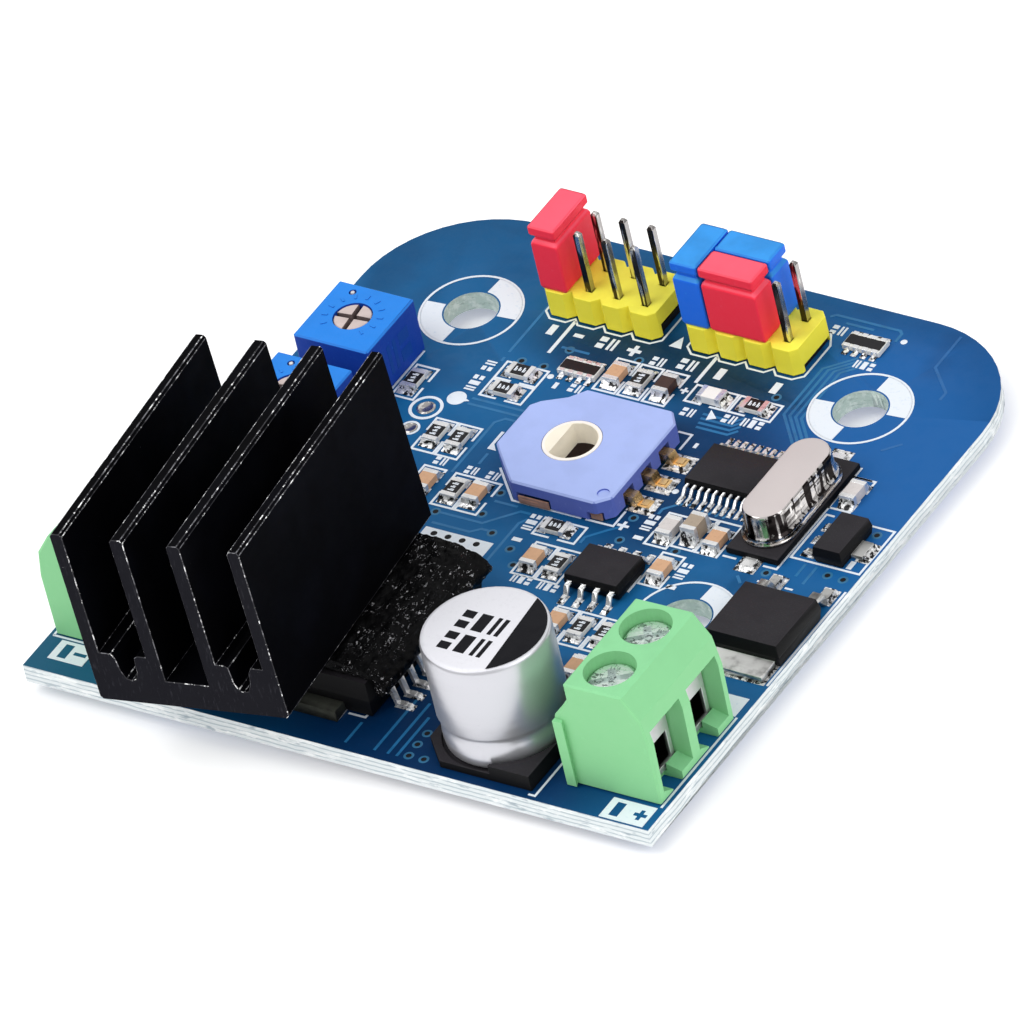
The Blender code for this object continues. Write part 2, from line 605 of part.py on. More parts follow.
def make_power_parts():
    """The 5 volt regulator and the reverse-polarity transistor, each with its tab and leads."""
    x, y = 53.0, 32.9
    tab = block((x + 1.0, x + 2.2), (y - 0.85, y + 0.85), (GAP, 0.42))
    leads = [block((x - 2.2, x - 1.0), (y + d - 0.22, y + d + 0.22), (GAP, 0.42)) for d in (-1.5, 0, 1.5)]
    part("regulator", moulded(x, y, 2.6, 4.5, 0.08, 1.5, 0.12), "black_mould", joins=[[tab] + leads])
    x, y = 52.6, 22.25
    tab = block((x - 2.75, x + 2.75), (y - 4.9, y - 2.6), (GAP, 0.55))
    lead = side_slab(gull_wing(3.05 - BURIED, 5.7, 0.9, 0.5, 1.3), (-0.4, 0.4))
    leads = [at(lead, x + side * 2.29, y, turn=90) for side in (-1, 1)]
    part("transistor", moulded(x, y, 6.55, 6.1, 0.1, 2.05, 0.16), "black_mould", joins=[[tab] + leads])


# ------------------------------------------------------------------ sensor and trimmers
def make_sensor():
    """A through-shaft rotary sensor: cover, turning rotor with its wiper, and the resistive track."""
    x, y, top = SENSOR_X, SENSOR_Y, SENSOR_TOP
    pocket_r, pocket_top = 3.9, 1.4
    tongue_x, tongue_half = 34.6, 0.45
    hollow = turned([(0.0, top + 1), (ROTOR_R + RUN, top + 1), (ROTOR_R + RUN, pocket_top), (pocket_r, pocket_top),
                     (pocket_r, -1.0), (0.0, -1.0)], 40)
    notches = [block((33.95, 36.5), (py - 0.7, py + 0.7), (-0.5, 1.35)) for py in SENSOR_PINS_Y]
    channels = [block((x + 1.0, tongue_x), (py - tongue_half - GAP, py + tongue_half + GAP), (-0.6, 0.4 + GAP))
                for py in SENSOR_PINS_Y]
    slots = [block((26.3, 29.3), (28.6, 30.05), (-0.5, 1.05)), block((32.6, 33.9), (28.3, 29.6), (-0.5, 0.9))]
    dimple = rod(33.6, 30.25, (top - 0.15, top + 1), 0.5, 16)
    part("sensor_housing", slab(SENSOR_OUTLINE, (GAP, top)), "sensor_lavender", bevel=0.15,
         cutters=[[at(hollow, x, y)], notches + slots + [dimple], channels])

    hub, flange, plate = ROTOR_R, 3.5, (0.95, 1.3)
    rotor = turned([(0.0, top), (hub - 0.1, top), (hub, top - 0.1), (hub, plate[1]), (flange, plate[1]),
                    (flange, plate[0]), (hub, plate[0]), (hub, 0.12), (0.0, 0.12)], 40)
    corner = 180 - degrees(acos(SHAFT_FLAT / SHAFT_R))
    shaft = slab(arc(0, 0, SHAFT_R, corner, -corner, 24), (-0.5, top + 1))
    part("sensor_rotor", at(rotor, x, y), "rotor_cream", (x, y, 0.0), cutters=[[at(shaft, x, y)]])
    wiper = turned([(3.2, plate[0] - GAP), (3.2, 0.65), (2.5, 0.65), (2.5, plate[0] - GAP)], 32)
    part("sensor_wiper", at(wiper, x, y), "copper", (x, y, 0.0))

    ring_r = pocket_r - 2 * GAP
    track = turned([(ring_r, 0.4), (ring_r, GAP), (hub + RUN, GAP), (hub + RUN, 0.4)], 40)
    strips = []
    for py in SENSOR_PINS_Y:
        start = x + sqrt(ring_r ** 2 - (py - y) ** 2) - 0.8
        strip = [(start, 0.1), (36.45, 0.1), (36.45, 0.3), (35.5, 0.3), (35.2, 0.95), (34.05, 0.95), (34.05, 0.75),
                 (34.35, 0.4), (start, 0.4)]
        strips.append(side_slab(strip, (py - tongue_half, py + tongue_half)))
    part("sensor_track", at(track, x, y), "track_brown", joins=[strips])


def make_trimmer(key):
    """A single-turn trimmer: shell, slotted rotor, and the element plate that carries its pins."""
    x, y = TRIMMERS[key]
    rx, ry = x + TRIMMER_ROTOR[0], y + TRIMMER_ROTOR[1]
    wall, plate = 0.6, (0.35, 1.0)
    body = block((x, x + TRIMMER), (y, y + TRIMMER), (GAP, TRIMMER_H))
    well = rod(rx, ry, (0.5, TRIMMER_H + 1), TRIMMER_ROTOR_R + RUN, 28)
    vent = rod(x + 1.8, y + 5.85, (TRIMMER_H - 0.5, TRIMMER_H + 1), 0.3, 12)
    pocket = block((x + wall, x + TRIMMER - wall), (y + wall, y + TRIMMER - wall), (-0.5, plate[1] + 0.7))
    part(f"trimmer_{key}_body", body, "trimmer_blue", cutters=[[well, vent], [pocket]], bevel=0.15)
    rotor = rod(rx, ry, (plate[1] + RUN, TRIMMER_H - 0.08), TRIMMER_ROTOR_R, 28)
    slot = block((-TRIMMER_ROTOR_R - 0.3, TRIMMER_ROTOR_R + 0.3), (-0.22, 0.22), (TRIMMER_H - 0.8, TRIMMER_H + 1))
    part(f"trimmer_{key}_rotor", rotor, "rotor_cream", (rx, ry, plate[1]),
         cutters=[[at(slot, rx, ry, turn=5)], [at(slot, rx, ry, turn=95)]], bevel=0.08)
    inside = wall + GAP
    element = block((x + inside, x + TRIMMER - inside), (y + inside, y + TRIMMER - inside), plate)
    pins = [rod(px, py, (TAIL_Z, plate[1] - 0.2), 0.25, 8) for px, py in trimmer_pin_places(key)]
    part(f"trimmer_{key}_element", element, "track_brown", joins=[pins])


def main():
    make_board()
    for side in ("input", "mode"):
        make_header(side)
        make_header_pins(side)
    make_jumpers()
    for side in ("supply", "motor"):
        make_terminal(side)
    sink = make_heat_sink()
    make_adhesive(sink)
    make_driver()
    make_small_chips()
    make_capacitor()
    make_crystal()
    make_power_parts()
    make_sensor()
    for key in TRIMMERS:
        make_trimmer(key)


main()
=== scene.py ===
"""The looks of a servo driver board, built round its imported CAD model.

Lengths below are millimetres in the board's own coordinates: x from the left edge, y from the front edge
and z from the top face of the board. Piece turns them into the frame's metres.
"""
from math import atan2, cos, hypot, pi, radians, sin

import bmesh
import bpy
from mathutils import Matrix, Vector


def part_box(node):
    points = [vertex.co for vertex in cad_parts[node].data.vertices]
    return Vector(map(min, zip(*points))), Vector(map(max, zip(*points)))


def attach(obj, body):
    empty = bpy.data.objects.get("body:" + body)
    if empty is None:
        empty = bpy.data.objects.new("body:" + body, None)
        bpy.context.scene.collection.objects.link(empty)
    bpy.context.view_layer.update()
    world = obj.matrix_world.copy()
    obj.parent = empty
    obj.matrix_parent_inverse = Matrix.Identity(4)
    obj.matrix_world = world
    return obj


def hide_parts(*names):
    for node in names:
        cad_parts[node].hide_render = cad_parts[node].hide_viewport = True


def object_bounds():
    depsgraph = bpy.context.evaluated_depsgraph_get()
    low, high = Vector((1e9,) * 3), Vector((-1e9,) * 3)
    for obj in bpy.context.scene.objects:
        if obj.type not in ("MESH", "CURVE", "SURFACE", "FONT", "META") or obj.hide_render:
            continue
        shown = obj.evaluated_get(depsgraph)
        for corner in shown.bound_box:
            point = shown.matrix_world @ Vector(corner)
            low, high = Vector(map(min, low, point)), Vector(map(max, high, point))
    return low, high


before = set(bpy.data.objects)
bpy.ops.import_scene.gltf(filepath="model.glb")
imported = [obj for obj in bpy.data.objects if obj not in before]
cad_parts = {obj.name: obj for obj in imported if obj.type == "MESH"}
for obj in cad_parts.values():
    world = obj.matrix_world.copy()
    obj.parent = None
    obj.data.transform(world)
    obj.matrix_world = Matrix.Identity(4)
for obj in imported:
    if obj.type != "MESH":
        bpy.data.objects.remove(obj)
cad_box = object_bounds()

MM = 0.001
ROOT = "board_assembly"
BOARD_LOW, BOARD_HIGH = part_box("board")
CORNER = Vector((BOARD_LOW.x, BOARD_LOW.y, BOARD_HIGH.z))
BOARD_T = (BOARD_HIGH.z - BOARD_LOW.z) / MM


def point(x, y, z=0.0):
    """Board millimetres to metres in the frame."""
    return CORNER + Vector((x, y, z)) * MM


def place_of(node):
    """Lowest and highest corner of a CAD node in board millimetres."""
    low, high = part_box(node)
    return (low - CORNER) / MM, (high - CORNER) / MM


def middle_of(node):
    low, high = place_of(node)
    return (low + high) / 2


# ---- finishes
class Finish:
    """A material under construction: masks are output sockets, and the steps use them in turn."""

    def __init__(self, name, colour, roughness=0.5, metallic=0.0, **sockets):
        self.material = bpy.data.materials.new(name)
        self.material.use_nodes = True
        self.tree = self.material.node_tree
        self.shader = self.tree.nodes["Principled BSDF"]
        self.set("Base Color", (*colour, 1.0))
        self.set("Roughness", roughness)
        self.set("Metallic", metallic)
        for socket, value in sockets.items():
            self.set(socket.replace("_", " "), value)
        self.space = self.node("TexCoord").outputs["Object"]
        self.height = None

    def node(self, kind, **settings):
        made = self.tree.nodes.new("ShaderNode" + kind)
        for name, value in settings.items():
            setattr(made, name, value)
        return made

    def set(self, socket, value):
        self.shader.inputs[socket].default_value = value

    def link(self, source, target):
        self.tree.links.new(source, target)

    def mapped(self, target, scale, location=(0.0, 0.0, 0.0)):
        """Feed the node with the object's own space, scaled and then moved."""
        mapping = self.node("Mapping")
        mapping.inputs["Scale"].default_value = scale
        mapping.inputs["Location"].default_value = location
        self.link(self.space, mapping.inputs["Vector"])
        self.link(mapping.outputs["Vector"], target.inputs[0])
        return target

    def noise(self, size, detail=3.0, roughness=0.55, stretch=(1, 1, 1)):
        """Noise whose features are about size millimetres, from 0 to 1."""
        made = self.mapped(self.node("TexNoise"), [s / (size * MM) for s in stretch])
        made.inputs["Scale"].default_value = 1.0
        made.inputs["Detail"].default_value = detail
        made.inputs["Roughness"].default_value = roughness
        return made.outputs["Fac"]

    def cells(self, size):
        """Distance to the nearest of scattered points about size millimetres apart."""
        made = self.mapped(self.node("TexVoronoi"), [1 / (size * MM)] * 3)
        made.inputs["Scale"].default_value = 1.0
        return made.outputs["Distance"]

    def ramp(self, source, low, high, start=0.0, end=1.0):
        """Source from low to high becomes start to end, smoothly and clamped."""
        made = self.node("MapRange", interpolation_type="SMOOTHSTEP")
        for name, value in (("From Min", low), ("From Max", high), ("To Min", start), ("To Max", end)):
            made.inputs[name].default_value = value
        self.link(source, made.inputs["Value"])
        return made.outputs["Result"]

    def maths(self, operation, a, b=0.0):
        made = self.node("Math", operation=operation)
        for socket, value in zip(made.inputs, (a, b)):
            if isinstance(value, (int, float)):
                socket.default_value = value
            else:
                self.link(value, socket)
        return made.outputs["Value"]

    def axis(self, index, source=None):
        made = self.node("SeparateXYZ")
        self.link(source or self.space, made.inputs["Vector"])
        return made.outputs[index]

    def spot(self, x, y, reach_x, reach_y, strength=1.0):
        """1 round a place on the board, fading to 0 at reach millimetres from it."""
        centre, scale = point(x, y), (1 / (reach_x * MM), 1 / (reach_y * MM), 0.0)
        length = self.node("VectorMath", operation="LENGTH")
        self.mapped(length, scale, [-a * b for a, b in zip(centre, scale)])
        return self.ramp(length.outputs["Value"], 1.0, 0.35, 0.0, strength)

    def painted_wall_shading(self, colour):
        """Painted shading: upright faces take another colour, standing in for the light and shade that fall
        on them.
        """
        upright = self.normal("Z")
        return self.tint(self.ramp(self.maths("ABSOLUTE", upright), 0.8, 0.4), colour)

    def tint(self, mask, colour):
        """Colour where the mask is 1, over whatever the base colour was."""
        made = self.node("Mix", data_type="RGBA")
        self.link(mask, made.inputs[0])
        self.over(made.inputs[6], "Base Color")
        made.inputs[7].default_value = (*colour, 1.0)
        self.link(made.outputs[2], self.shader.inputs["Base Color"])
        return self

    def over(self, target, socket):
        """Pass on what the shader's socket has now."""
        now = self.shader.inputs[socket]
        if now.is_linked:
            self.link(now.links[0].from_socket, target)
        else:
            target.default_value = now.default_value

    def vary(self, socket, mask, value):
        """The shader's number moves towards value where the mask is 1."""
        made = self.node("Mix", data_type="FLOAT")
        self.link(mask, made.inputs[0])
        self.over(made.inputs[2], socket)
        made.inputs[3].default_value = value
        self.link(made.outputs[0], self.shader.inputs[socket])
        return self

    def patches(self, colour, low, high, most, *shape):
        """Colour where noise of this shape rises from low to high, up to most of it."""
        return self.tint(self.ramp(self.noise(*shape), low, high, 0.0, most), colour)

    def dulled(self, roughness, low, high, *shape):
        """The same for roughness."""
        return self.vary("Roughness", self.ramp(self.noise(*shape), low, high), roughness)

    def normal(self, index):
        """How far the surface faces along an axis of the frame."""
        return self.axis(index, self.node("TexCoord").outputs["Normal"])

    def bump(self, source, depth):
        """Relief of depth millimetres."""
        made = self.node("Bump")
        made.inputs["Distance"].default_value = depth * MM
        self.link(source, made.inputs["Height"])
        if self.height:
            self.link(self.height, made.inputs["Normal"])
        self.height = made.outputs["Normal"]
        self.link(self.height, self.shader.inputs["Normal"])
        return self

    def grain(self, depth, *shape):
        """Relief from noise of this shape."""
        return self.bump(self.noise(*shape), depth)


def shade(colour, factor):
    return tuple(min(1.0, c * factor) for c in colour)


def srgb(r, g, b):
    """Linear colour from 0-255 display values."""
    shares = (r / 255, g / 255, b / 255)
    return tuple(c / 12.92 if c <= 0.04045 else ((c + 0.055) / 1.055) ** 2.4 for c in shares)


def plastic(name, colour, roughness=0.4, grain=0.25, depth=0.006, mottle=0.08, painted_wall_shading=None, gloss=0.25):
    """Moulded plastic: faint flow mottling, a fine mould grain and rubbed patches; a colour for upright
    faces, when given, is painted shading.
    """
    made = Finish(name, colour, roughness, Specular_IOR_Level=gloss)
    made.patches(shade(colour, 1.0 - mottle), 0.35, 0.7, 0.8, 2.6)
    # Painted shading on upright faces, when a colour for them is given.
    if painted_wall_shading:
        made.painted_wall_shading(painted_wall_shading)
    made.patches(shade(colour, 1.0 + mottle), 0.62, 0.8, 0.3, 0.5)
    made.dulled(roughness + 0.15, 0.4, 0.7, 1.2)
    made.grain(depth, grain, 2.0)
    made.grain(depth * 2.5, 2.2, 1.0)
    return made.material


def metal(name, colour, roughness=0.25, stretch=(1, 1, 1), size=0.4, depth=0.004, dull=0.6, metallic=1.0):
    """Metal with drawn or cast unevenness, and darker dull patches."""
    made = Finish(name, colour, roughness, metallic)
    made.patches(shade(colour, dull), 0.45, 0.75, 0.7, size * 2)
    made.dulled(roughness + 0.2, 0.35, 0.7, size * 1.3)
    made.grain(depth, size, 3.0, 0.6, stretch)
    return made.material


def make_mask():
    """Blue solder mask over woven glass, lighter and darker in broad spots, with a faint weave."""
    made = Finish("solder_mask", (0.006, 0.105, 0.275), 0.45, Specular_IOR_Level=0.15)
    deep, navy = (0.001, 0.028, 0.070), (0.0, 0.024, 0.090)
    bright, corner = (0.009, 0.102, 0.325), (0.010, 0.095, 0.165)
    # Broad spots lighter and darker than the mask; the darker ones are painted shade, deepest along the pin
    # strips.
    for colour, *area in ((bright, 53.0, 47.0, 22.0, 25.0, 1.0), (corner, 1.0, 1.0, 12.0, 12.0, 0.9),
                          (navy, 36.0, 3.0, 24.0, 11.0, 1.0), (navy, 37.0, 36.0, 11.0, 13.0, 0.85),
                          (deep, 28.5, 47.0, 17.0, 5.2, 0.9), (navy, 25.0, 31.0, 10.0, 7.0, 0.35)):
        made.tint(made.spot(*area), colour)
    made.patches(navy, 0.5, 0.75, 0.25, 6, 2.0)
    made.patches(bright, 0.6, 0.8, 0.12, 0.35, 2.0)
    made.dulled(0.6, 0.4, 0.7, 1.6)
    warp, weft = (made.noise(0.5, 1.0, 0.5, stretch) for stretch in ((1, 0.12, 1), (0.12, 1, 1)))
    made.bump(made.maths("ADD", warp, weft), 0.004)
    made.grain(0.01, 3.0, 2.0)
    return made.material


def make_laminate():
    """Sawn edge of the board: pale glass cloth in layers."""
    made = Finish("board_edge", srgb(222, 228, 230), 0.75)
    wander = made.maths("MULTIPLY", made.noise(2.5, 2.0), 0.35 * MM)
    depth = made.maths("ADD", made.axis("Z"), wander)
    layers = made.maths("SINE", made.maths("MULTIPLY", depth, 2 * pi / (0.42 * MM)))
    made.tint(made.ramp(layers, 0.2, 0.95, 0.0, 0.8), srgb(166, 180, 188))
    made.patches(srgb(246, 248, 248), 0.5, 0.66, 0.8, 0.5, 4.0, 0.7, (0.25, 0.25, 1))
    made.patches(srgb(132, 150, 162), 0.6, 0.72, 0.7, 0.7, 3.0, 0.6, (0.3, 0.3, 1))
    made.grain(0.04, 0.2, 4.0, 0.7)
    made.bump(layers, 0.01)
    return made.material


def make_print():
    """Screen printed white ink: slightly worn, with a grainy surface."""
    made = Finish("white_print", srgb(222, 229, 237), 0.6)
    made.patches(srgb(170, 195, 220), 0.55, 0.75, 0.35, 0.3, 3.0)
    made.grain(0.006, 0.12, 2.0)
    return made.material


def make_track(name="masked_copper", colour=(0.018, 0.150, 0.345)):
    """Copper under the mask: a lighter blue on its raised top."""
    made = Finish(name, colour, 0.32, Specular_IOR_Level=0.3)
    made.patches(shade(colour, 0.75), 0.45, 0.7, 0.7, 1.5)
    made.grain(0.003, 0.4)
    return made.material


def make_anodised():
    """Black anodised extrusion: fine die lines along its length, sawn grey ends, dust and soft smears."""
    made = Finish("black_anodised", (0.0008, 0.0008, 0.0014), 0.5, Specular_IOR_Level=0.03)
    made.patches(srgb(62, 62, 66), 0.7, 0.82, 0.12, 0.25, 4.0, 0.7)
    made.patches((0.0020, 0.0022, 0.0040), 0.4, 0.7, 0.8, 6.0, 2.0)
    end = made.normal("Y")
    sawn = made.ramp(made.maths("ABSOLUTE", end), 0.6, 0.9)
    made.tint(sawn, srgb(22, 22, 28))
    scratched = made.ramp(made.noise(0.2, 3.0, 0.7, (1, 1, 0.2)), 0.55, 0.75)
    made.tint(made.maths("MULTIPLY", sawn, scratched), srgb(42, 42, 48))
    pitted = made.ramp(made.noise(0.5, 5.0, 0.8), 0.70, 0.74)
    made.tint(made.maths("MULTIPLY", sawn, pitted), srgb(150, 150, 154))
    made.patches(srgb(190, 190, 194), 0.735, 0.75, 1.0, 0.6, 5.0, 0.85, (1, 0.5, 1))
    made.dulled(0.6, 0.35, 0.7, 2.5)
    made.grain(0.003, 0.16, 2.0, 0.5, (1, 0.02, 1))
    made.grain(0.003, 0.5, 3.0)
    return made.material


def make_worn_and_highlit_edge():
    """Extrusion arrises: lighter grey, a painted highlight along each edge together with rubbed wear, and
    bare bright nicks.
    """
    made = Finish("worn_and_highlit_edge", srgb(44, 44, 48), 0.4, Specular_IOR_Level=0.2)
    # Lighter grey streaks: painted highlight along the arrises.
    made.patches(srgb(112, 112, 117), 0.5, 0.58, 1.0, 0.7, 4.0, 0.7)
    made.patches(srgb(255, 255, 255), 0.56, 0.59, 1.0, 0.8, 5.0, 0.8)
    made.grain(0.03, 0.3, 4.0)
    return made.material


def make_mould():
    """Black epoxy moulding: charcoal, matte, with a fine spark-eroded grain and painted shade on its upright
    faces.
    """
    made = Finish("black_mould", srgb(42, 40, 44), 0.6, Specular_IOR_Level=0.15)
    made.patches(srgb(54, 52, 56), 0.5, 0.75, 0.5, 0.12, 2.0)
    made.patches(srgb(36, 34, 38), 0.45, 0.7, 0.5, 1.8, 3.0)
    # Upright faces painted near black: painted shade.
    made.painted_wall_shading(srgb(9, 9, 11))
    made.grain(0.01, 0.09, 2.0)
    return made.material


def make_adhesive():
    """Cured black thermal glue: wet looking and stringy, with painted highlights as bright glints in patches.
    """
    made = Finish("thermal_glue", (0.0012, 0.0012, 0.0015), 0.2, Specular_IOR_Level=0.08)
    streaks = made.noise(0.6, 5.0, 0.8, (1.6, 0.5, 1.0))
    made.tint(made.ramp(streaks, 0.58, 0.66, 0.0, 0.8), srgb(30, 30, 33))
    # Bright glints are painted highlights.
    glints = made.ramp(made.noise(0.3, 5.0, 0.85, (1.2, 0.6, 1.0)), 0.605, 0.63)
    areas = made.ramp(made.noise(1.8, 2.0), 0.45, 0.6)
    made.tint(made.maths("MULTIPLY", glints, areas), srgb(225, 225, 230))
    made.grain(0.12, 0.5, 5.0, 0.75, (1.5, 0.5, 1.0))
    return made.material


def make_can_side():
    """Drawn aluminium can, finely brushed round its axis, under a thin clear coat."""
    made = Finish("can_side", srgb(203, 203, 209), 0.3, 0.75)
    made.dulled(0.38, 0.4, 0.7, 0.3, 3.0, 0.6, (0.05, 0.05, 1))
    made.patches(srgb(170, 170, 178), 0.62, 0.8, 0.25, 0.25, 3.0, 0.6)
    made.grain(0.001, 0.12, 2.0, 0.5, (0.1, 0.1, 1))
    return made.material


def make_can_top():
    """Satin top of the can: near white, sand-grained."""
    made = Finish("can_top", srgb(220, 220, 226), 0.5, 0.1)
    made.patches(srgb(204, 204, 210), 0.5, 0.75, 0.35, 0.3, 3.0)
    made.grain(0.004, 0.12, 2.0)
    return made.material


def make_solder():
    """Bright solder in lumps, with painted reflections, dark and bright, in patches."""
    made = Finish("solder", srgb(214, 214, 214), 0.3, 0.55)
    # Near black and white patches are painted reflections.
    made.patches(srgb(26, 26, 28), 0.47, 0.54, 1.0, 0.55, 3.0, 0.6)
    made.patches(srgb(255, 255, 255), 0.52, 0.57, 1.0, 0.4, 3.0)
    made.grain(0.09, 0.45, 3.0)
    return made.material


def make_chrome():
    """Polished drawn can: painted reflections as dark and bright bands, upright on its ends and running along
    its sides, and a painted highlight round its foot.
    """
    made = Finish("chromed_can", srgb(206, 202, 200), 0.12, 1.0)
    # Dark bands and bright patches are painted reflections.
    upright = made.ramp(made.noise(0.9, 2.0, 0.6, (1.0, 1.0, 0.1)), 0.46, 0.51)
    made.tint(upright, srgb(38, 34, 34))
    along = made.ramp(made.noise(0.45, 2.0, 0.6, (0.6, 0.12, 1.0)), 0.46, 0.52)
    flank = made.ramp(made.maths("ABSOLUTE", made.normal("X")), 0.85, 0.97)
    made.tint(made.maths("MULTIPLY", along, flank), srgb(30, 27, 26))
    made.patches(srgb(244, 240, 236), 0.58, 0.64, 0.9, 0.6, 3.0, 0.6, (1.0, 1.0, 0.3))
    # The lighter foot is a painted highlight.
    flange = made.ramp(made.axis("Z"), point(0, 0, 1.3).z, point(0, 0, 1.1).z, 0.0, 0.8)
    made.tint(flange, srgb(226, 218, 212))
    made.dulled(0.3, 0.45, 0.7, 0.5)
    made.grain(0.03, 1.4, 2.0)
    return made.material


def make_pin():
    """Square tinned wire: bright on one side and painted shade on the faces turned to the front, with drawing
    lines along it.
    """
    made = Finish("header_pin_metal", srgb(176, 172, 170), 0.2, 0.95)
    # Faces turned to the front are painted darker: painted shade.
    shady = made.normal("Y")
    made.tint(made.ramp(shady, -0.3, -0.8), srgb(60, 56, 54))
    made.patches(srgb(236, 234, 230), 0.52, 0.6, 0.9, 0.5, 3.0, 0.6, (1, 1, 0.12))
    made.grain(0.004, 0.25, 2.0, 0.5, (1, 1, 0.1))
    return made.material


def make_hole_wall():
    """Drilled wall of a fixing hole: grey-green glass cloth with tool marks round it."""
    made = Finish("hole_wall", srgb(178, 196, 190), 0.7)
    made.patches(srgb(214, 224, 220), 0.45, 0.65, 0.8, 0.8, 4.0, 0.7)
    made.patches(srgb(120, 144, 138), 0.55, 0.7, 0.7, 0.25, 3.0, 0.7, (0.2, 0.2, 1))
    made.grain(0.04, 0.25, 4.0, 0.7)
    return made.material


def make_ceramic(name, colour):
    made = Finish(name, colour, 0.5)
    made.patches(shade(colour, 0.78), 0.5, 0.75, 0.6, 0.25, 3.0)
    made.patches(shade(colour, 1.15), 0.55, 0.75, 0.5, 0.9, 2.0)
    made.grain(0.01, 0.15, 3.0)
    return made.material


def make_cage(name, node):
    """Pressed steel wire clamp: satin on its face, with painted shade inside its mouth."""
    made = Finish(name, srgb(225, 220, 226), 0.5, 1.0)
    made.patches(srgb(214, 209, 215), 0.45, 0.75, 0.7, 1.4)
    face = max(abs(corner.x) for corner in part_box(node))
    depth = made.maths("SUBTRACT", face, made.maths("ABSOLUTE", made.axis("X")))
    # Deeper than the face, painted near black: painted shade.
    made.tint(made.ramp(depth, 0.1 * MM, 0.35 * MM), srgb(26, 23, 24))
    made.grain(0.002, 0.7, 3.0, 0.6)
    return made.material


def make_zinc():
    """Zinc plated screw: coarse sparkling crystals."""
    made = Finish("zinc_screw", srgb(236, 244, 242), 0.3, 0.9)
    made.patches(srgb(110, 126, 126), 0.56, 0.60, 0.7, 0.3, 3.0, 0.7, (1, 0.4, 1))
    made.patches(srgb(60, 72, 72), 0.58, 0.62, 0.8, 0.3, 3.0, 0.7, (0.4, 1, 1))
    made.grain(0.05, 0.25, 4.0, 0.7)
    made.bump(made.cells(0.18), 0.02)
    return made.material


FINISHES = {
    "mask": make_mask(),
    "edge": make_laminate(),
    "hole": make_hole_wall(),
    "print": make_print(),
    "track": make_track(),
    "faint": make_track("deep_copper", (0.014, 0.115, 0.330)),
    "via": make_track("via_ring", (0.030, 0.150, 0.290)),
    "anodised": make_anodised(),
    # Heat sink arrises: painted highlight, with wear and bright nicks.
    "worn": make_worn_and_highlit_edge(),
    "mould": make_mould(),
    "glue": make_adhesive(),
    "can_side": make_can_side(),
    "can_top": make_can_top(),
    "can_print": plastic("can_print", srgb(24, 24, 28), 0.6, mottle=0.1, gloss=0.1),
    "slug": metal("dull_slug", srgb(72, 74, 68), 0.5, dull=0.6),
    "solder": make_solder(),
    "zinc": make_zinc(),
    "tin": metal("tinned_lead", srgb(238, 238, 238), 0.25, size=0.6, dull=0.75, metallic=0.7),
    "pin": make_pin(),
    "tab": metal("transistor_tab", srgb(196, 196, 194), 0.3, (1, 0.2, 1), 0.6, 0.01, 0.3),
    "brass": metal("shaded_brass", srgb(20, 18, 17), 0.7),
    "gold": metal("gilt_strip", srgb(255, 214, 150), 0.22, size=0.5, dull=0.5),
    "copper": metal("copper_strip", srgb(190, 150, 130), 0.35, dull=0.5),
    "strap": plastic("copper_strap", srgb(186, 142, 122), 0.35, mottle=0.5, gloss=0.6),
    "cage_supply": make_cage("cage_steel", "terminal_cage_supply_1"),
    "cage_motor": make_cage("cage_steel_motor", "terminal_cage_motor_1"),
    "chrome": make_chrome(),
    "satin": plastic("satin_can", srgb(196, 187, 186), 0.5, 0.12, 0.002, 0.03),
    # The upright-face colours given to these plastics are painted shading, lighter or darker than their tops.
    "green": plastic("terminal_green", (0.245, 0.615, 0.300), 0.5, painted_wall_shading=(0.235, 0.585, 0.275)),
    "yellow": plastic("header_yellow", (0.970, 0.890, 0.085), 0.5, 0.45, 0.03, 0.12, (1.000, 0.880, 0.060)),
    "red": plastic("jumper_red", (0.960, 0.105, 0.165), 0.45, painted_wall_shading=(1.000, 0.035, 0.070)),
    "blue": plastic("jumper_blue", (0.033, 0.300, 0.780), 0.45, mottle=0.2, painted_wall_shading=(0.015, 0.170, 0.850)),
    "trimmer": plastic("trimmer_blue", (0.016, 0.220, 0.740), 0.5, 0.4, 0.014, painted_wall_shading=(0.006, 0.052, 0.380)),
    "etched": plastic("trimmer_etching", (0.004, 0.060, 0.350), 0.5),
    "cream": plastic("rotor_cream", srgb(244, 236, 218), 0.5),
    "pale": plastic("rotor_white", srgb(202, 186, 182), 0.5, mottle=0.25),
    # Painted shade for faces inside the trimmer rotor's cross slot.
    "slot": plastic("rotor_slot_shade", srgb(112, 96, 94), 0.7, mottle=0.4),
    "rim": plastic("rotor_rim", srgb(246, 240, 234), 0.4),
    # Its upright-face colour is painted shade.
    "lavender": plastic("sensor_lavender", (0.375, 0.465, 0.820), 0.55, 0.3, painted_wall_shading=(0.108, 0.155, 0.530)),
    "resin": plastic("track_brown", srgb(96, 70, 50), 0.5),
    "tan": make_ceramic("ceramic_tan", srgb(204, 160, 124)),
    "taupe": make_ceramic("ceramic_taupe", srgb(164, 148, 130)),
    "grey": make_ceramic("ceramic_grey", srgb(206, 200, 198)),
    "brown": make_ceramic("ferrite_brown", srgb(60, 36, 30)),
    "alumina": make_ceramic("alumina_white", srgb(222, 222, 218)),
    "glaze": plastic("resistor_glaze", srgb(26, 25, 28), 0.4),
    "lamp": plastic("lamp_white", srgb(240, 240, 236), 0.3),
    # Near black: painted shade in holes and hollows, and the black rubber of the capacitor's seal.
    "dark": plastic("dark_hole", srgb(18, 17, 19), 0.6),
    # Dark brown for the shaft hole's wall: painted shade deep in the hole.
    "shaft_hole_shade": plastic("shaft_hole_wall", srgb(62, 46, 40), 0.7),
}


# ---- shapes
SAME_PLACE = 1e-4
SHARP_ANGLE, EDGE_ANGLE = 35, 38


def spun(turn, about):
    """A turn in degrees, then a move to the place it stands at."""
    return Matrix.Translation((*about, 0.0)) @ Matrix.Rotation(radians(turn), 4, "Z")


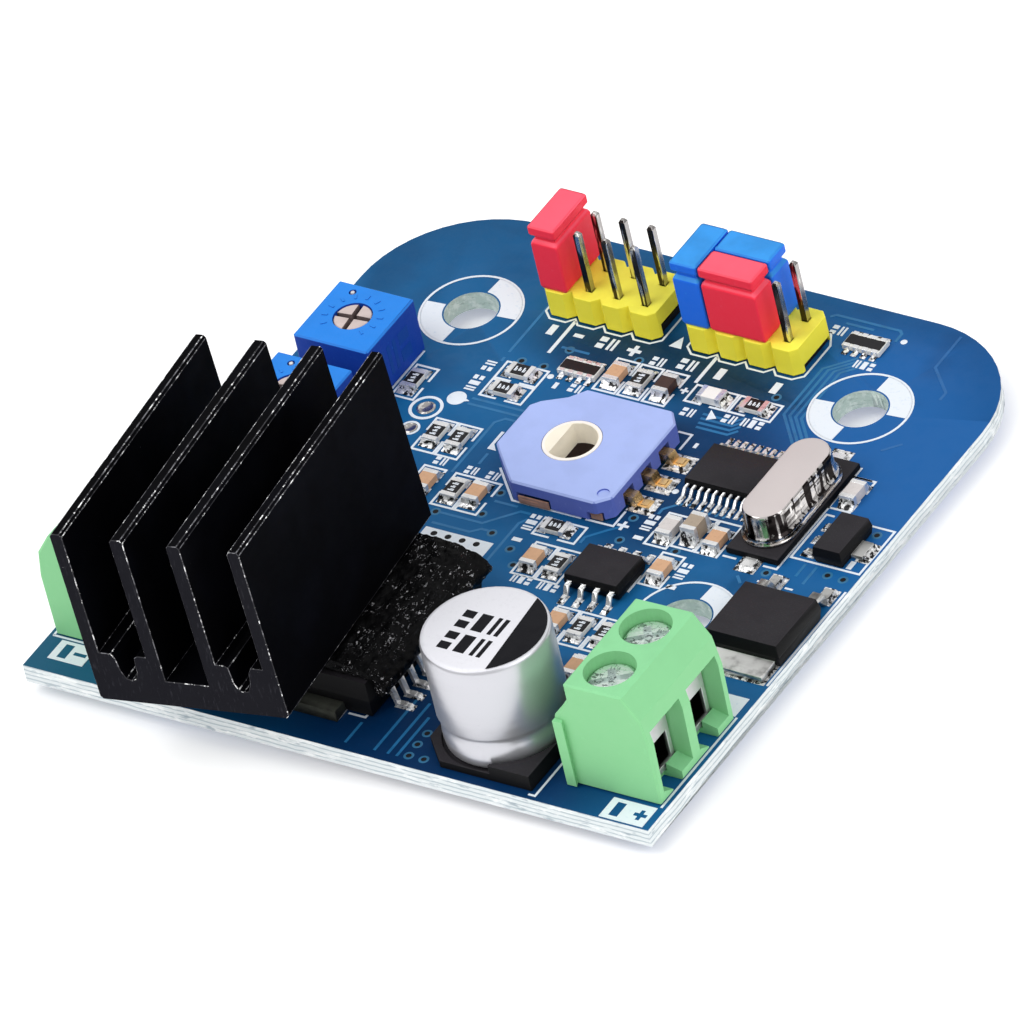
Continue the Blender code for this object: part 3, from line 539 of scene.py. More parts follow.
class Piece:
    """Shapes in board millimetres, each with a finish, made into one object."""

    def __init__(self, name):
        self.name = name
        self.work = bmesh.new()
        self.finishes = []

    def index(self, finish):
        if finish not in self.finishes:
            self.finishes.append(finish)
        return self.finishes.index(finish)

    def painted(self, finish, faces):
        number = self.index(finish)
        for face in faces:
            face.material_index = number
            face.smooth = True
        return self

    def new_faces(self, before):
        return [face for face in self.work.faces if face not in before]

    def closed(self, finish, before):
        """Face the new faces outwards and paint them."""
        bmesh.ops.recalc_face_normals(self.work, faces=self.new_faces(before))
        return self.painted(finish, self.new_faces(before))

    def joined(self, before):
        """The new faces, with doubled corners made one."""
        corners = list(dict.fromkeys(v for face in self.new_faces(before) for v in face.verts))
        bmesh.ops.remove_doubles(self.work, verts=corners, dist=SAME_PLACE)
        return self.new_faces(before)

    def raised(self, faces, shift):
        """Give flat faces thickness; returns the corners that moved."""
        made = bmesh.ops.extrude_face_region(self.work, geom=faces, use_keep_orig=True)["geom"]
        moved = [item for item in made if isinstance(item, bmesh.types.BMVert)]
        bmesh.ops.translate(self.work, verts=moved, vec=shift)
        return moved

    def block(self, finish, x, y, z, turn=0.0, about=(0.0, 0.0)):
        """A box from three (low, high) pairs, turned about a vertical line."""
        before = set(self.work.faces)
        centre = Vector(((x[0] + x[1]) / 2, (y[0] + y[1]) / 2, (z[0] + z[1]) / 2))
        size = Vector((x[1] - x[0], y[1] - y[0], z[1] - z[0]))
        matrix = spun(turn, about) @ Matrix.Translation(centre) @ Matrix.Diagonal(size.to_4d())
        bmesh.ops.create_cube(self.work, size=1.0, matrix=matrix)
        return self.painted(finish, self.new_faces(before))

    def prism(self, finish, outline, z, turn=0.0, about=(0.0, 0.0), top=1.0):
        """An outline in x and y given thickness; its top can be drawn in by a factor."""
        before = set(self.work.faces)
        turned = spun(turn, about)
        corners = [self.work.verts.new(turned @ Vector((px, py, z[0]))) for px, py in outline]
        base = self.work.faces.new(corners)
        upper = self.raised([base], (0.0, 0.0, z[1] - z[0]))
        middle = sum((v.co for v in upper), Vector()) / len(upper)
        for vertex in upper:
            vertex.co.x = middle.x + (vertex.co.x - middle.x) * top
            vertex.co.y = middle.y + (vertex.co.y - middle.y) * top
        return self.closed(finish, before)

    def side_prism(self, finish, outline, width, turn=0.0, about=(0.0, 0.0)):
        """An outline in x and z given thickness along y, turned about a vertical line."""
        before = set(self.work.faces)
        turned = spun(turn, about)
        corners = [self.work.verts.new(turned @ Vector((px, width[0], pz))) for px, pz in outline]
        base = self.work.faces.new(corners)
        self.raised([base], turned.to_3x3() @ Vector((0.0, width[1] - width[0], 0.0)))
        return self.closed(finish, before)

    def turned(self, finish, x, y, profile, sides=32):
        """A profile of (radius, z) points turned round a vertical line at (x, y)."""
        before = set(self.work.faces)
        points = [self.work.verts.new((x + r, y, z)) for r, z in profile]
        edges = [self.work.edges.new(pair) for pair in zip(points, points[1:])]
        if profile[0][0] > 0:
            edges.append(self.work.edges.new((points[-1], points[0])))
        bmesh.ops.spin(self.work, geom=points + edges, axis=(0, 0, 1), cent=(x, y, 0), angle=2 * pi,
                       steps=sides, use_merge=True)
        self.joined(before)
        return self.closed(finish, before)

    def ribbon(self, finish, points, width, z, closed=False):
        """A flat strip along a line of points, mitred at its corners."""
        before = set(self.work.faces)
        count = len(points)
        left, right = [], []
        for i, here in enumerate(points):
            here = Vector(here)
            ahead = Vector(points[(i + 1) % count]) - here if closed or i < count - 1 else None
            behind = here - Vector(points[i - 1]) if closed or i > 0 else None
            ahead = (ahead or behind).normalized()
            behind = (behind or ahead).normalized()
            along = (ahead + behind).normalized()
            across = Vector((-along.y, along.x)) * (width / 2) / max(0.3, along.dot(ahead))
            left.append(self.work.verts.new((*(here + across), z[0])))
            right.append(self.work.verts.new((*(here - across), z[0])))
        for i in range(count if closed else count - 1):
            j = (i + 1) % count
            self.work.faces.new((left[i], right[i], right[j], left[j]))
        self.raised(self.new_faces(before), (0.0, 0.0, z[1] - z[0]))
        return self.closed(finish, before)

    def sector(self, finish, x, y, inner, outer, start, end, z, steps=24):
        """Part of a flat ring between two angles in degrees."""
        angles = [radians(start + (end - start) * i / steps) for i in range(steps + 1)]
        middle = (inner + outer) / 2
        line = [(x + middle * cos(a), y + middle * sin(a)) for a in angles]
        closed = abs(end - start) >= 360
        return self.ribbon(finish, line[:-1] if closed else line, outer - inner, z, closed)

    def cad(self, node, choose):
        """The faces of a CAD node, each with the finish that choose(centre, normal) names."""
        before = set(self.work.faces)
        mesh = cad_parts[node].data.copy()
        mesh.transform(Matrix.Scale(1 / MM, 4) @ Matrix.Translation(-CORNER))
        self.work.from_mesh(mesh)
        bpy.data.meshes.remove(mesh)
        made = self.joined(before)
        self.work.normal_update()
        for face in made:
            self.painted(choose(face.calc_center_median(), face.normal), [face])
        return self

    def done(self, body=ROOT, bevel=0.0, segments=2, replaces=(), slot=None):
        """The finished object, riding on its body."""
        bmesh.ops.transform(self.work, matrix=Matrix.Translation(CORNER) @ Matrix.Scale(MM, 4),
                            verts=self.work.verts)
        mesh = bpy.data.meshes.new(self.name)
        self.work.to_mesh(mesh)
        self.work.free()
        made = bpy.data.objects.new(self.name, mesh)
        bpy.context.scene.collection.objects.link(made)
        for finish in self.finishes:
            mesh.materials.append(FINISHES[finish])
        mesh.shade_smooth()
        mesh.set_sharp_from_angle(angle=radians(SHARP_ANGLE))
        if bevel:
            rounded(made, bevel, segments)
        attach(made, body)
        if replaces:
            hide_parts(*replaces)
        return made


def rounded(obj, width, segments=2, worn=None):
    """Round an object's edges; the optional last argument names a finish for the rounded faces."""
    edge = obj.modifiers.new("edges", "BEVEL")
    edge.width = width * MM
    edge.segments = segments
    edge.limit_method = "ANGLE"
    edge.angle_limit = radians(EDGE_ANGLE)
    edge.harden_normals = True
    if worn:
        obj.data.materials.append(FINISHES[worn])
        edge.material = len(obj.data.materials) - 1
    return obj


def refinish(node, finish, bevel=0.0, segments=2, worn=None):
    """Keep a CAD node's own shape, with a better material and softened edges."""
    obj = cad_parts[node]
    obj.data.materials.clear()
    obj.data.materials.append(FINISHES[finish])
    if bevel:
        obj.modifiers.new("joined", "WELD").merge_threshold = 0.001 * MM
        rounded(obj, bevel, segments, worn)
    return obj


# ---- board
MOUNT_HOLES = [(10.5, 21.8), (45.6, 21.8), (10.5, 47.3), (45.6, 47.3)]
HOLE_R, RING_R = 2.15, 4.0
SHAFT, SHAFT_R, SHAFT_HOLE_R = (28.0, 34.7), 2.03, 2.6
SENSOR_PINS = (32.0, 34.55, 37.1)
# The heights of the ink, the copper under the mask and the bare pads.
PRINT_Z = (0.012, 0.035)
TRACK_Z = (0.0, 0.014)
PAD_Z = (0.0, 0.04)
PITCH = 2.54
HEADERS = {"input": 17.58, "mode": 30.38}
HEADER_Y = (50.1, 52.64)
HEADER_PINS = range(1, 9)
POLES = (1, 2)
TRIMMERS = "ab"


def make_board():
    def choose(centre, normal):
        if abs(normal.z) > 0.5:
            return "mask"
        # The shaft hole's wall is painted dark brown: painted shade deep in the hole.
        if hypot(centre.x - SHAFT[0], centre.y - SHAFT[1]) < SHAFT_HOLE_R:
            return "shaft_hole_shade"
        drilled = any(hypot(centre.x - x, centre.y - y) < HOLE_R + 0.2 for x, y in MOUNT_HOLES)
        return "hole" if drilled else "edge"

    Piece("board_laminate").cad("board", choose).done(replaces=["board"], slot="solder_mask_blue")


def make_rings():
    """Printed rings and the filled quarters round the four fixing holes."""
    piece = Piece("print_rings")
    for x, y in MOUNT_HOLES:
        piece.sector("print", x, y, RING_R - 0.07, RING_R + 0.13, 0, 360, PRINT_Z, 56)
        for start in (2, 182):
            piece.sector("print", x, y, HOLE_R + 0.12, RING_R - 0.05, start, start + 86, PRINT_Z, 20)
    piece.done()


# Printed brackets round the chips: centre and the direction that the chip lies in.
BRACKETS = [
    (15.85, 33.6, "y"), (18.0, 33.6, "y"), (17.95, 28.53, "y"), (20.8, 28.53, "y"), (22.95, 28.53, "y"),
    (31.1, 27.27, "x"), (31.1, 23.7, "y"), (33.25, 23.7, "y"), (39.05, 30.05, "y"), (41.15, 30.5, "y"),
    (43.3, 30.5, "y"), (41.03, 25.93, "y"), (33.95, 44.57, "x"), (37.9, 44.57, "x"), (25.5, 44.33, "y"),
    (27.7, 44.33, "y"), (29.95, 44.33, "y"), (18.38, 42.05, "x"), (18.38, 39.9, "x"), (10.95, 38.5, "y"),
    (50.3, 38.4, "y"), (36.7, 17.9, "y"), (38.85, 17.9, "y"), (41.0, 17.9, "y"), (41.2, 13.6, "y"),
]
BRACKET_LONG, BRACKET_WIDE, BRACKET_GAP = 1.86, 0.97, 0.38
LINE = 0.19


def make_brackets():
    piece = Piece("print_brackets")
    for x, y, axis in BRACKETS:
        for side in (-1, 1):
            corners = [(-BRACKET_WIDE, side * BRACKET_GAP), (-BRACKET_WIDE, side * BRACKET_LONG),
                       (BRACKET_WIDE, side * BRACKET_LONG), (BRACKET_WIDE, side * BRACKET_GAP)]
            if axis == "x":
                corners = [(b, a) for a, b in corners]
            piece.ribbon("print", [(x + a, y + b) for a, b in corners], LINE, PRINT_Z)
    piece.done()


OUTLINES = [
    [(22.75, 32.05), (25.7, 29.1), (31.9, 29.1)], [(32.3, 29.1), (34.75, 29.1), (34.75, 30.9)],
    [(33.6, 40.3), (34.85, 40.3), (34.85, 38.5)], [(9.62, 41.95), (9.62, 25.6)],
    [(49.4, 41.35), (49.4, 29.0), (48.2, 29.0)], [(45.8, 29.0), (44.6, 29.0)],
    [(49.45, 40.25), (51.0, 40.25)],
    [(50.4, 35.75), (49.68, 35.75), (49.68, 30.6), (55.75, 30.6), (55.75, 35.75), (53.6, 35.75)],
    [(55.85, 28.5), (55.85, 17.2)], [(48.7, 27.35), (49.3, 27.35)], [(51.15, 27.35), (51.85, 27.35)],
    [(39.92, 24.9), (39.92, 22.9)], [(33.75, 24.3), (33.75, 22.9)],
    [(45.75, 4.6), (45.75, 0.45), (45.15, 0.45)], [(45.75, 10.0), (45.75, 11.75), (44.0, 11.75)],
    [(27.05, 3.75), (28.55, 3.75), (28.55, 4.7)], [(55.6, 2.55), (55.6, 13.3)],
    [(0.35, 3.75), (8.8, 3.75)], [(0.4, 14.5), (0.4, 3.75)],
]


def make_outlines():
    """Printed outlines of the larger parts, with their polarity marks."""
    piece = Piece("print_outlines")
    half = PITCH / 2
    for first in HEADERS.values():
        front = []
        for column in range(4):
            x = first + PITCH * column
            front += [(x - half, HEADER_Y[0] - half + 0.25), (x - 0.72, HEADER_Y[0] - half - 0.33),
                      (x + 0.72, HEADER_Y[0] - half - 0.33)]
        back = [(x, HEADER_Y[0] + HEADER_Y[1] - y) for x, y in front]
        side = first + 3 * PITCH + half + 0.2
        left = first - half - 0.2
        line = [(left, HEADER_Y[0] - half + 0.35)] + front[1:] + [(side, HEADER_Y[0] - half + 0.3)]
        line += [(side, HEADER_Y[1] + half - 1.0)] + back[:0:-1] + [(left, HEADER_Y[1] + half - 0.35)]
        piece.ribbon("print", line, 0.17, PRINT_Z, closed=True)
    for line in OUTLINES:
        piece.ribbon("print", line, LINE, PRINT_Z)
    for line, width in (([(19.0, 48.85), (19.0, 44.95)], 0.3), ([(31.8, 48.85), (31.8, 45.7)], 0.3),
                        ([(19.75, 47.45), (20.6, 47.45)], 0.38), ([(35.8, 39.6), (35.8, 39.05)], 0.3),
                        ([(20.68, 35.75), (20.68, 33.65)], 0.26)):
        piece.ribbon("print", line, width, PRINT_Z)
    for x, y, reach, width in ((25.25, 47.35, 0.6, 0.34), (35.45, 29.4, 0.5, 0.26), (31.5, 44.6, 0.35, 0.2)):
        piece.block("print", (-reach, reach), (-width / 2, width / 2), PRINT_Z, 0, (x, y))
        below = (PRINT_Z[0] - 0.002, PRINT_Z[1] - 0.002)
        piece.block("print", (-width / 2, width / 2), (-reach, reach), below, 0, (x, y))
    piece.prism("print", [(27.5, 48.75), (28.6, 48.75), (28.05, 50.05)], PRINT_Z)
    piece.prism("print", [(20.7, 33.65), (21.35, 33.65), (20.7, 34.4)], (PRINT_Z[0], PRINT_Z[1] - 0.003))
    piece.prism("print", [(35.6, 42.6), (34.7, 43.35), (34.9, 42.2)], PRINT_Z)
    piece.turned("print", 15.05, 38.0, [(0.0, 0.035), (0.72, 0.035), (0.78, 0.01), (0.0, 0.01)], 28)
    piece.prism("print", [(15.7, 37.8), (16.2, 38.0), (15.7, 38.2)], (PRINT_Z[0], PRINT_Z[1] - 0.003))
    for x, y in ((20.65, 42.6), (37.15, 34.2), (44.65, 55.2)):
        piece.turned("print", x, y, [(0.0, 0.035), (0.24, 0.035), (0.28, 0.01), (0.0, 0.01)], 16)
    piece.done()


def make_test_points():
    """Two round test pads, the larger in a printed ring, and the row of holes in a white bar."""
    piece = Piece("test_points")
    piece.sector("print", 13.4, 36.2, 1.1, 1.36, 0, 360, PRINT_Z, 36)
    piece.sector("print", 13.5, 33.75, 0.62, 0.8, 0, 360, PRINT_Z, 28)
    for x, y, r in ((13.4, 36.2, 0.75), (13.5, 33.75, 0.6)):
        dish = [(0.0, 0.05), (r * 0.66, 0.05), (r * 0.8, 0.1), (r, 0.03), (r, 0.0), (0.0, 0.0)]
        piece.turned("pin", x, y, dish, 28)
    piece.block("print", (20.98, 27.05), (22.5, 24.28), PRINT_Z)
    # Each hole is a near-black disc: painted shade inside it.
    for x in (22.0, 23.27, 24.55, 25.82):
        piece.turned("dark", x, 23.76, [(0.0, 0.038), (0.27, 0.038), (0.27, 0.03), (0.0, 0.03)], 16)
    piece.done()


# Rows of plain marks where the real board has lettering: place, count, height and turn.
MARKS = [
    (17.8, 47.4, 1, 1.15, 0), (22.8, 47.4, 2, 1.3, 0), (27.7, 46.85, 2, 0.95, 0), (30.1, 47.3, 2, 1.2, 0),
    (33.1, 47.2, 1, 1.25, 0), (38.1, 47.2, 1, 1.25, 0), (39.1, 54.7, 2, 1.0, 0),
    (43.2, 51.75, 3, 0.85, 0), (23.3, 42.0, 2, 0.9, 0), (21.6, 41.8, 1, 0.7, 0), (15.4, 42.1, 2, 0.9, 90),
    (15.4, 40.0, 3, 0.9, 90), (20.8, 31.05, 2, 0.85, 0), (22.75, 31.05, 2, 0.85, 0),
    (17.9, 31.2, 2, 0.85, 0), (28.5, 27.4, 3, 0.9, 90), (28.5, 25.3, 1, 0.8, 90),
    (31.35, 21.4, 3, 0.85, 0), (33.75, 21.35, 3, 0.85, 0), (37.25, 30.4, 3, 0.9, 90),
    (37.3, 28.6, 1, 0.8, 90), (42.7, 26.4, 3, 0.9, 90), (42.8, 24.5, 1, 0.8, 90),
    (36.6, 42.85, 2, 0.9, 0), (38.6, 42.95, 3, 0.9, 0), (54.6, 31.3, 1, 0.9, 0), (33.1, 42.5, 2, 0.9, 0),
]


def marks(piece, finish, x, y, count, size, turn, z):
    """Pairs of bars, solid blocks and split blocks in turn."""
    for i in range(count):
        middle = (i - (count - 1) / 2) * size * 0.74
        wide, tall, kind = size * 0.25, size / 2, (i + count) % 3
        bars = {0: [(-wide, -wide * 0.25, -tall, tall), (wide * 0.3, wide, -tall, tall)],
                1: [(-wide, wide, -tall, tall)],
                2: [(-wide, wide, -tall, -tall * 0.2), (-wide, wide, tall * 0.2, tall)]}[kind]
        for low_x, high_x, low_y, high_y in bars:
            piece.block(finish, (middle + low_x, middle + high_x), (low_y, high_y), z, turn, (x, y))


def make_marks():
    piece = Piece("print_marks")
    for x, y, count, size, turn in MARKS:
        marks(piece, "print", x, y, count, size, turn, PRINT_Z)
    piece.done()


PANELS = [(51.55, 55.4, 0.15, 2.4), (51.6, 55.4, 13.35, 15.45), (1.35, 4.5, 1.35, 3.5)]


def make_labels():
    """White panels beside the wire terminals, with a polarity sign or plain marks on each."""
    piece = Piece("print_panels")
    sign = (PRINT_Z[1] - 0.005, PRINT_Z[1] + 0.006)
    for low_x, high_x, low_y, high_y in PANELS:
        piece.block("print", (low_x, high_x), (low_y, high_y), PRINT_Z)
        middle = (low_y + high_y) / 2
        if low_y < 10:
            marks(piece, "mask", low_x + 1.0, middle, 1, 1.5, 0, sign)
            piece.block("mask", (-0.55, 0.55), (-0.17, 0.17), sign, 0, (high_x - 0.85, middle))
    piece.block("mask", (-0.17, 0.17), (-0.55, 0.55), (sign[0], sign[1] - 0.002), 0, (54.55, 1.275))
    piece.done()


VIAS = [
    (24.35, 29.55), (20.72, 26.01), (24.31, 26.96), (26.24, 25.32), (28.58, 24.18), (29.8, 22.66),
    (34.05, 3.79), (34.01, 2.47), (34.07, 1.15), (35.4, 1.17), (35.72, 30.47), (36.07, 27.91),
    (40.88, 28.2), (54.64, 34.97), (53.48, 29.71), (54.88, 29.67), (48.84, 28.39), (20.4, 45.8),
    (17.5, 43.45), (19.5, 43.45), (26.2, 46.5), (38.7, 46.3),
]


def make_vias():
    """Plated holes under the mask, on both faces."""
    piece = Piece("vias")
    for x, y in VIAS:
        for z, up in ((0.0, 1), (-BOARD_T, -1)):
            ring = [(0.21, z + up * 0.004), (0.25, z + up * 0.02), (0.36, z + up * 0.018), (0.42, z)]
            piece.turned("via", x, y, ring, 20)
            # The hollow is a near-black disc: painted shade inside the hole.
            hollow = [(0.0, z + up * 0.011), (0.23, z + up * 0.011), (0.23, z), (0.0, z)]
            piece.turned("dark", x, y, hollow, 16)
    piece.done()


def bundle(line, count, shift):
    """Copies of a line, each moved on by the shift."""
    return [[(x + shift[0] * i, y + shift[1] * i) for x, y in line] for i in range(count)]


TRACKS = [
    [(16.2, 38.4), (20.9, 38.4)], [(16.2, 37.75), (20.9, 37.75)],
    [(19.4, 30.4), (19.4, 36.5), (20.0, 37.15), (20.9, 37.15)], [(20.9, 31.9), (20.9, 33.2)],
    [(21.1, 26.05), (24.9, 26.05), (27.0, 28.2), (27.9, 28.2)],
    [(21.1, 24.85), (24.5, 24.85), (25.2, 25.45), (25.9, 25.45)], [(24.4, 28.6), (26.5, 28.6)],
    [(27.6, 22.4), (27.6, 27.0), (28.0, 27.6)],
    [(33.35, 26.6), (33.35, 27.3), (34.6, 28.6), (35.3, 29.2)],
    [(39.3, 33.3), (38.2, 33.0), (37.3, 32.1), (37.3, 31.5)], [(16.0, 50.6), (16.0, 44.0)],
    [(16.0, 43.4), (16.0, 42.9)],
    [(37.6, 55.9), (38.0, 56.25), (43.7, 56.25), (44.0, 55.95), (44.0, 55.0)],
    [(39.2, 55.65), (41.7, 55.65)], [(31.2, 0.8), (31.2, 7.6)], [(32.4, 0.8), (32.4, 6.8)],
    [(33.2, 0.8), (33.2, 5.4)], [(51.2, 28.8), (51.2, 30.3)], [(52.2, 28.2), (52.2, 30.3)],
    [(28.6, 0.8), (28.6, 3.2)], [(22.1, 45.9), (19.6, 45.9)], [(46.9, 27.4), (47.6, 26.7)],
]
FAINT_TRACKS = [[(48.55, 57.2), (48.55, 53.4), (50.9, 51.1), (50.9, 50.2)], [(49.7, 43.6), (50.9, 44.8)]]
TRACKS += bundle([(43.6, 41.1), (40.3, 44.8), (40.3, 50.4), (42.3, 52.4)], 4, (0.52, 0.0))
TRACKS += bundle([(34.6, 41.25), (37.4, 41.25), (38.0, 41.9)], 4, (-0.1, 0.5))
TRACKS += bundle([(40.6, 33.2), (40.3, 32.7)], 4, (0.65, 0.0))


TRACK_WIDE, TRACK_STEP, TRACK_LEVELS = 0.24, 0.0004, 8


def make_tracks():
    """Copper tracks that show through the mask, at slightly different heights where they cross."""
    piece = Piece("tracks")
    for number, line in enumerate(TRACKS):
        top = TRACK_Z[1] - TRACK_STEP * (number % TRACK_LEVELS)
        piece.ribbon("track", line, TRACK_WIDE, (0.0, top))
    for line in FAINT_TRACKS:
        piece.ribbon("faint", line, TRACK_WIDE, TRACK_Z)
    piece.done()


# ---- chips
CHIP_L, CHIP_W, CHIP_END = 2.0, 1.25, 0.38
RESISTORS = [
    (10.9, 38.5, "y"), (18.36, 42.08, "x"), (18.25, 39.85, "x"), (15.92, 33.7, "y"), (18.0, 33.7, "y"),
    (20.85, 28.5, "y"), (30.8, 27.3, "x"), (33.25, 23.65, "y"), (27.75, 44.28, "y"), (37.9, 44.58, "x"),
    (38.87, 17.92, "y"), (41.05, 17.92, "y"),
]
CAPACITORS = [
    (18.3, 28.55, 0.65, "tan"), (22.8, 28.6, 0.65, "tan"), (31.12, 23.65, 0.7, "tan"),
    (25.65, 44.25, 0.7, "tan"), (39.3, 30.0, 0.8, "grey"), (41.4, 30.45, 1.4, "taupe"),
    (43.45, 30.1, 0.75, "tan"), (41.2, 25.75, 0.75, "tan"), (50.7, 38.2, 0.9, "grey"),
    (36.72, 17.92, 0.7, "tan"), (41.05, 13.8, 0.7, "tan"),
]
NETWORKS = [(22.66, 43.85), (42.2, 53.7)]


def chip_ends(piece, x, y, turn, height):
    """Metal end caps, their solder fillets and pads, for a chip that lies along its own x."""
    half, wide = CHIP_L / 2, CHIP_W / 2
    for side in (0, 180):
        piece.block("tin", (half - CHIP_END, half + 0.02), (-wide - 0.02, wide + 0.02), (0.05, height + 0.02),
                    turn + side, (x, y))
        fillet = [(half + 0.02, 0.04), (half + 0.5, 0.04), (half + 0.42, 0.1), (half + 0.2, height * 0.3),
                  (half + 0.02, height * 0.75)]
        piece.side_prism("solder", fillet, (-wide - 0.05, wide + 0.05), turn + side, (x, y))
        piece.block("solder", (half - 0.4, half + 0.55), (-wide - 0.1, wide + 0.1), PAD_Z,
                    turn + side, (x, y))


def make_resistor(number, x, y, axis):
    piece = Piece(f"chip_resistor_{number:02d}")
    turn = 90 if axis == "y" else 0
    half, wide, height = CHIP_L / 2, CHIP_W / 2, 0.5
    inner = half - CHIP_END
    piece.block("alumina", (-half + 0.02, half - 0.02), (-wide, wide), (0.06, height - 0.06), turn, (x, y))
    piece.block("glaze", (-inner + 0.02, inner - 0.02), (-wide + 0.06, wide - 0.06),
                (height - 0.07, height + 0.01), turn, (x, y))
    for i, tall in enumerate((0.26, 0.2, 0.26)):
        middle = (i - 1) * 0.36
        for start, end, reach, ink in ((-0.11, 0.02, tall, 0.018), (0.05, 0.12, tall * 0.3, 0.016)):
            piece.block("print", (middle + start, middle + end), (-tall, reach), (height, height + ink),
                        turn, (x, y))
    chip_ends(piece, x, y, turn, height)
    piece.done(bevel=0.05)


def make_capacitor_chip(number, x, y, height, finish, turn=90):
    piece = Piece(f"chip_capacitor_{number:02d}")
    half, wide = CHIP_L / 2, CHIP_W / 2
    piece.block(finish, (-half + 0.05, half - 0.05), (-wide, wide), (0.06, height), turn, (x, y))
    chip_ends(piece, x, y, turn, height)
    piece.done(bevel=0.09)


def make_network(number, x, y):
    """Four resistors in one body, with rounded terminals along both long sides."""
    piece = Piece(f"resistor_network_{number}")
    long, wide, height = 3.3, 1.6, 0.55
    piece.block("alumina", (x - long / 2, x + long / 2), (y - wide / 2, y + wide / 2), (0.06, height - 0.06))
    piece.block("glaze", (x - long / 2 + 0.08, x + long / 2 - 0.08), (y - wide / 2 + 0.3, y + wide / 2 - 0.3),
                (height - 0.07, height + 0.01))
    for i in range(4):
        cx = x + (i - 1.5) * 0.82
        for side in (-1, 1):
            edge = y + side * wide / 2
            piece.block("tin", (cx - 0.24, cx + 0.24), sorted((edge - side * 0.28, edge + side * 0.08)),
                        (0.05, height + 0.02))
            piece.block("solder", (cx - 0.24, cx + 0.24), sorted((edge - side * 0.1, edge + side * 0.55)),
                        (0.0, 0.12))
    piece.done(bevel=0.05)


def make_chips():
    for number, (x, y, axis) in enumerate(RESISTORS, 1):
        make_resistor(number, x, y, axis)
    for number, (x, y, height, finish) in enumerate(CAPACITORS, 1):
        make_capacitor_chip(number, x, y, height, finish)
    for number, (x, y) in enumerate(NETWORKS, 1):
        make_network(number, x, y)
    make_capacitor_chip(20, 30.1, 44.25, 0.8, "brown")
    make_capacitor_chip(21, 34.2, 44.4, 0.75, "lamp", turn=0)


# ---- solder
PIN_JOINT, LEG_JOINT, TRIMMER_JOINT = 0.95, 1.5, 0.9
LEG_BEHIND_SCREW = 2.15


def joint(piece, x, y, reach):
    """A cone of solder round a tail below the board."""
    z = -BOARD_T
    profile = [(0.0, z - 0.85), (reach * 0.4, z - 0.85), (reach * 0.5, z - 0.55), (reach * 0.75, z - 0.25),
               (reach, z - 0.05), (reach, z), (0.0, z)]
    piece.turned("solder", x, y, profile, 24)


def make_joints():
    """Solder below every pin that goes through the board."""
    for side in HEADERS:
        piece = Piece(f"joints_header_{side}")
        for number in HEADER_PINS:
            pin = middle_of(f"header_pin_{side}_{number}")
            joint(piece, pin.x, pin.y, PIN_JOINT)
        piece.done()
    for side, facing in (("supply", 1), ("motor", -1)):
        piece = Piece(f"joints_terminal_{side}")
        for number in POLES:
            screw = middle_of(f"terminal_screw_{side}_{number}")
            joint(piece, screw.x - facing * LEG_BEHIND_SCREW, screw.y, LEG_JOINT)
        piece.done()
    for key in TRIMMERS:
        piece = Piece(f"joints_trimmer_{key}")
        rotor = middle_of(f"trimmer_{key}_rotor")
        for dx, dy in ((-PITCH, 0), (0, -PITCH), (PITCH, 0)):
            joint(piece, rotor.x + dx, rotor.y + dy, TRIMMER_JOINT)
        piece.done()


def toe(piece, x, y, turn, start, end, half, rise):
    """A pad on the board under a lead that points along x, with solder climbing the lead's toe."""
    piece.block("solder", (start, end), (-half, half), PAD_Z, turn, (x, y))
    slope = [(end - 0.08, 0.03), (end - 0.16, rise * 0.35), (end - 0.34, rise),
             (start + 0.25, rise * 0.8), (start + 0.1, 0.03)]
    piece.side_prism("solder", slope, (-half * 0.72, half * 0.72), turn, (x, y))


# Leads on each side, their pitch, whether the rows run along y, and each pad's reach, half width and rise.
LEAD_ROWS = [
    ("driver_chip", 10, 1.27, True, 6.1, 7.75, 0.34, 0.26),
    ("controller_chip", 10, 0.65, False, 3.0, 4.05, 0.19, 0.15),
    ("amplifier_chip", 4, 1.27, False, 2.6, 3.65, 0.29, 0.2),
]


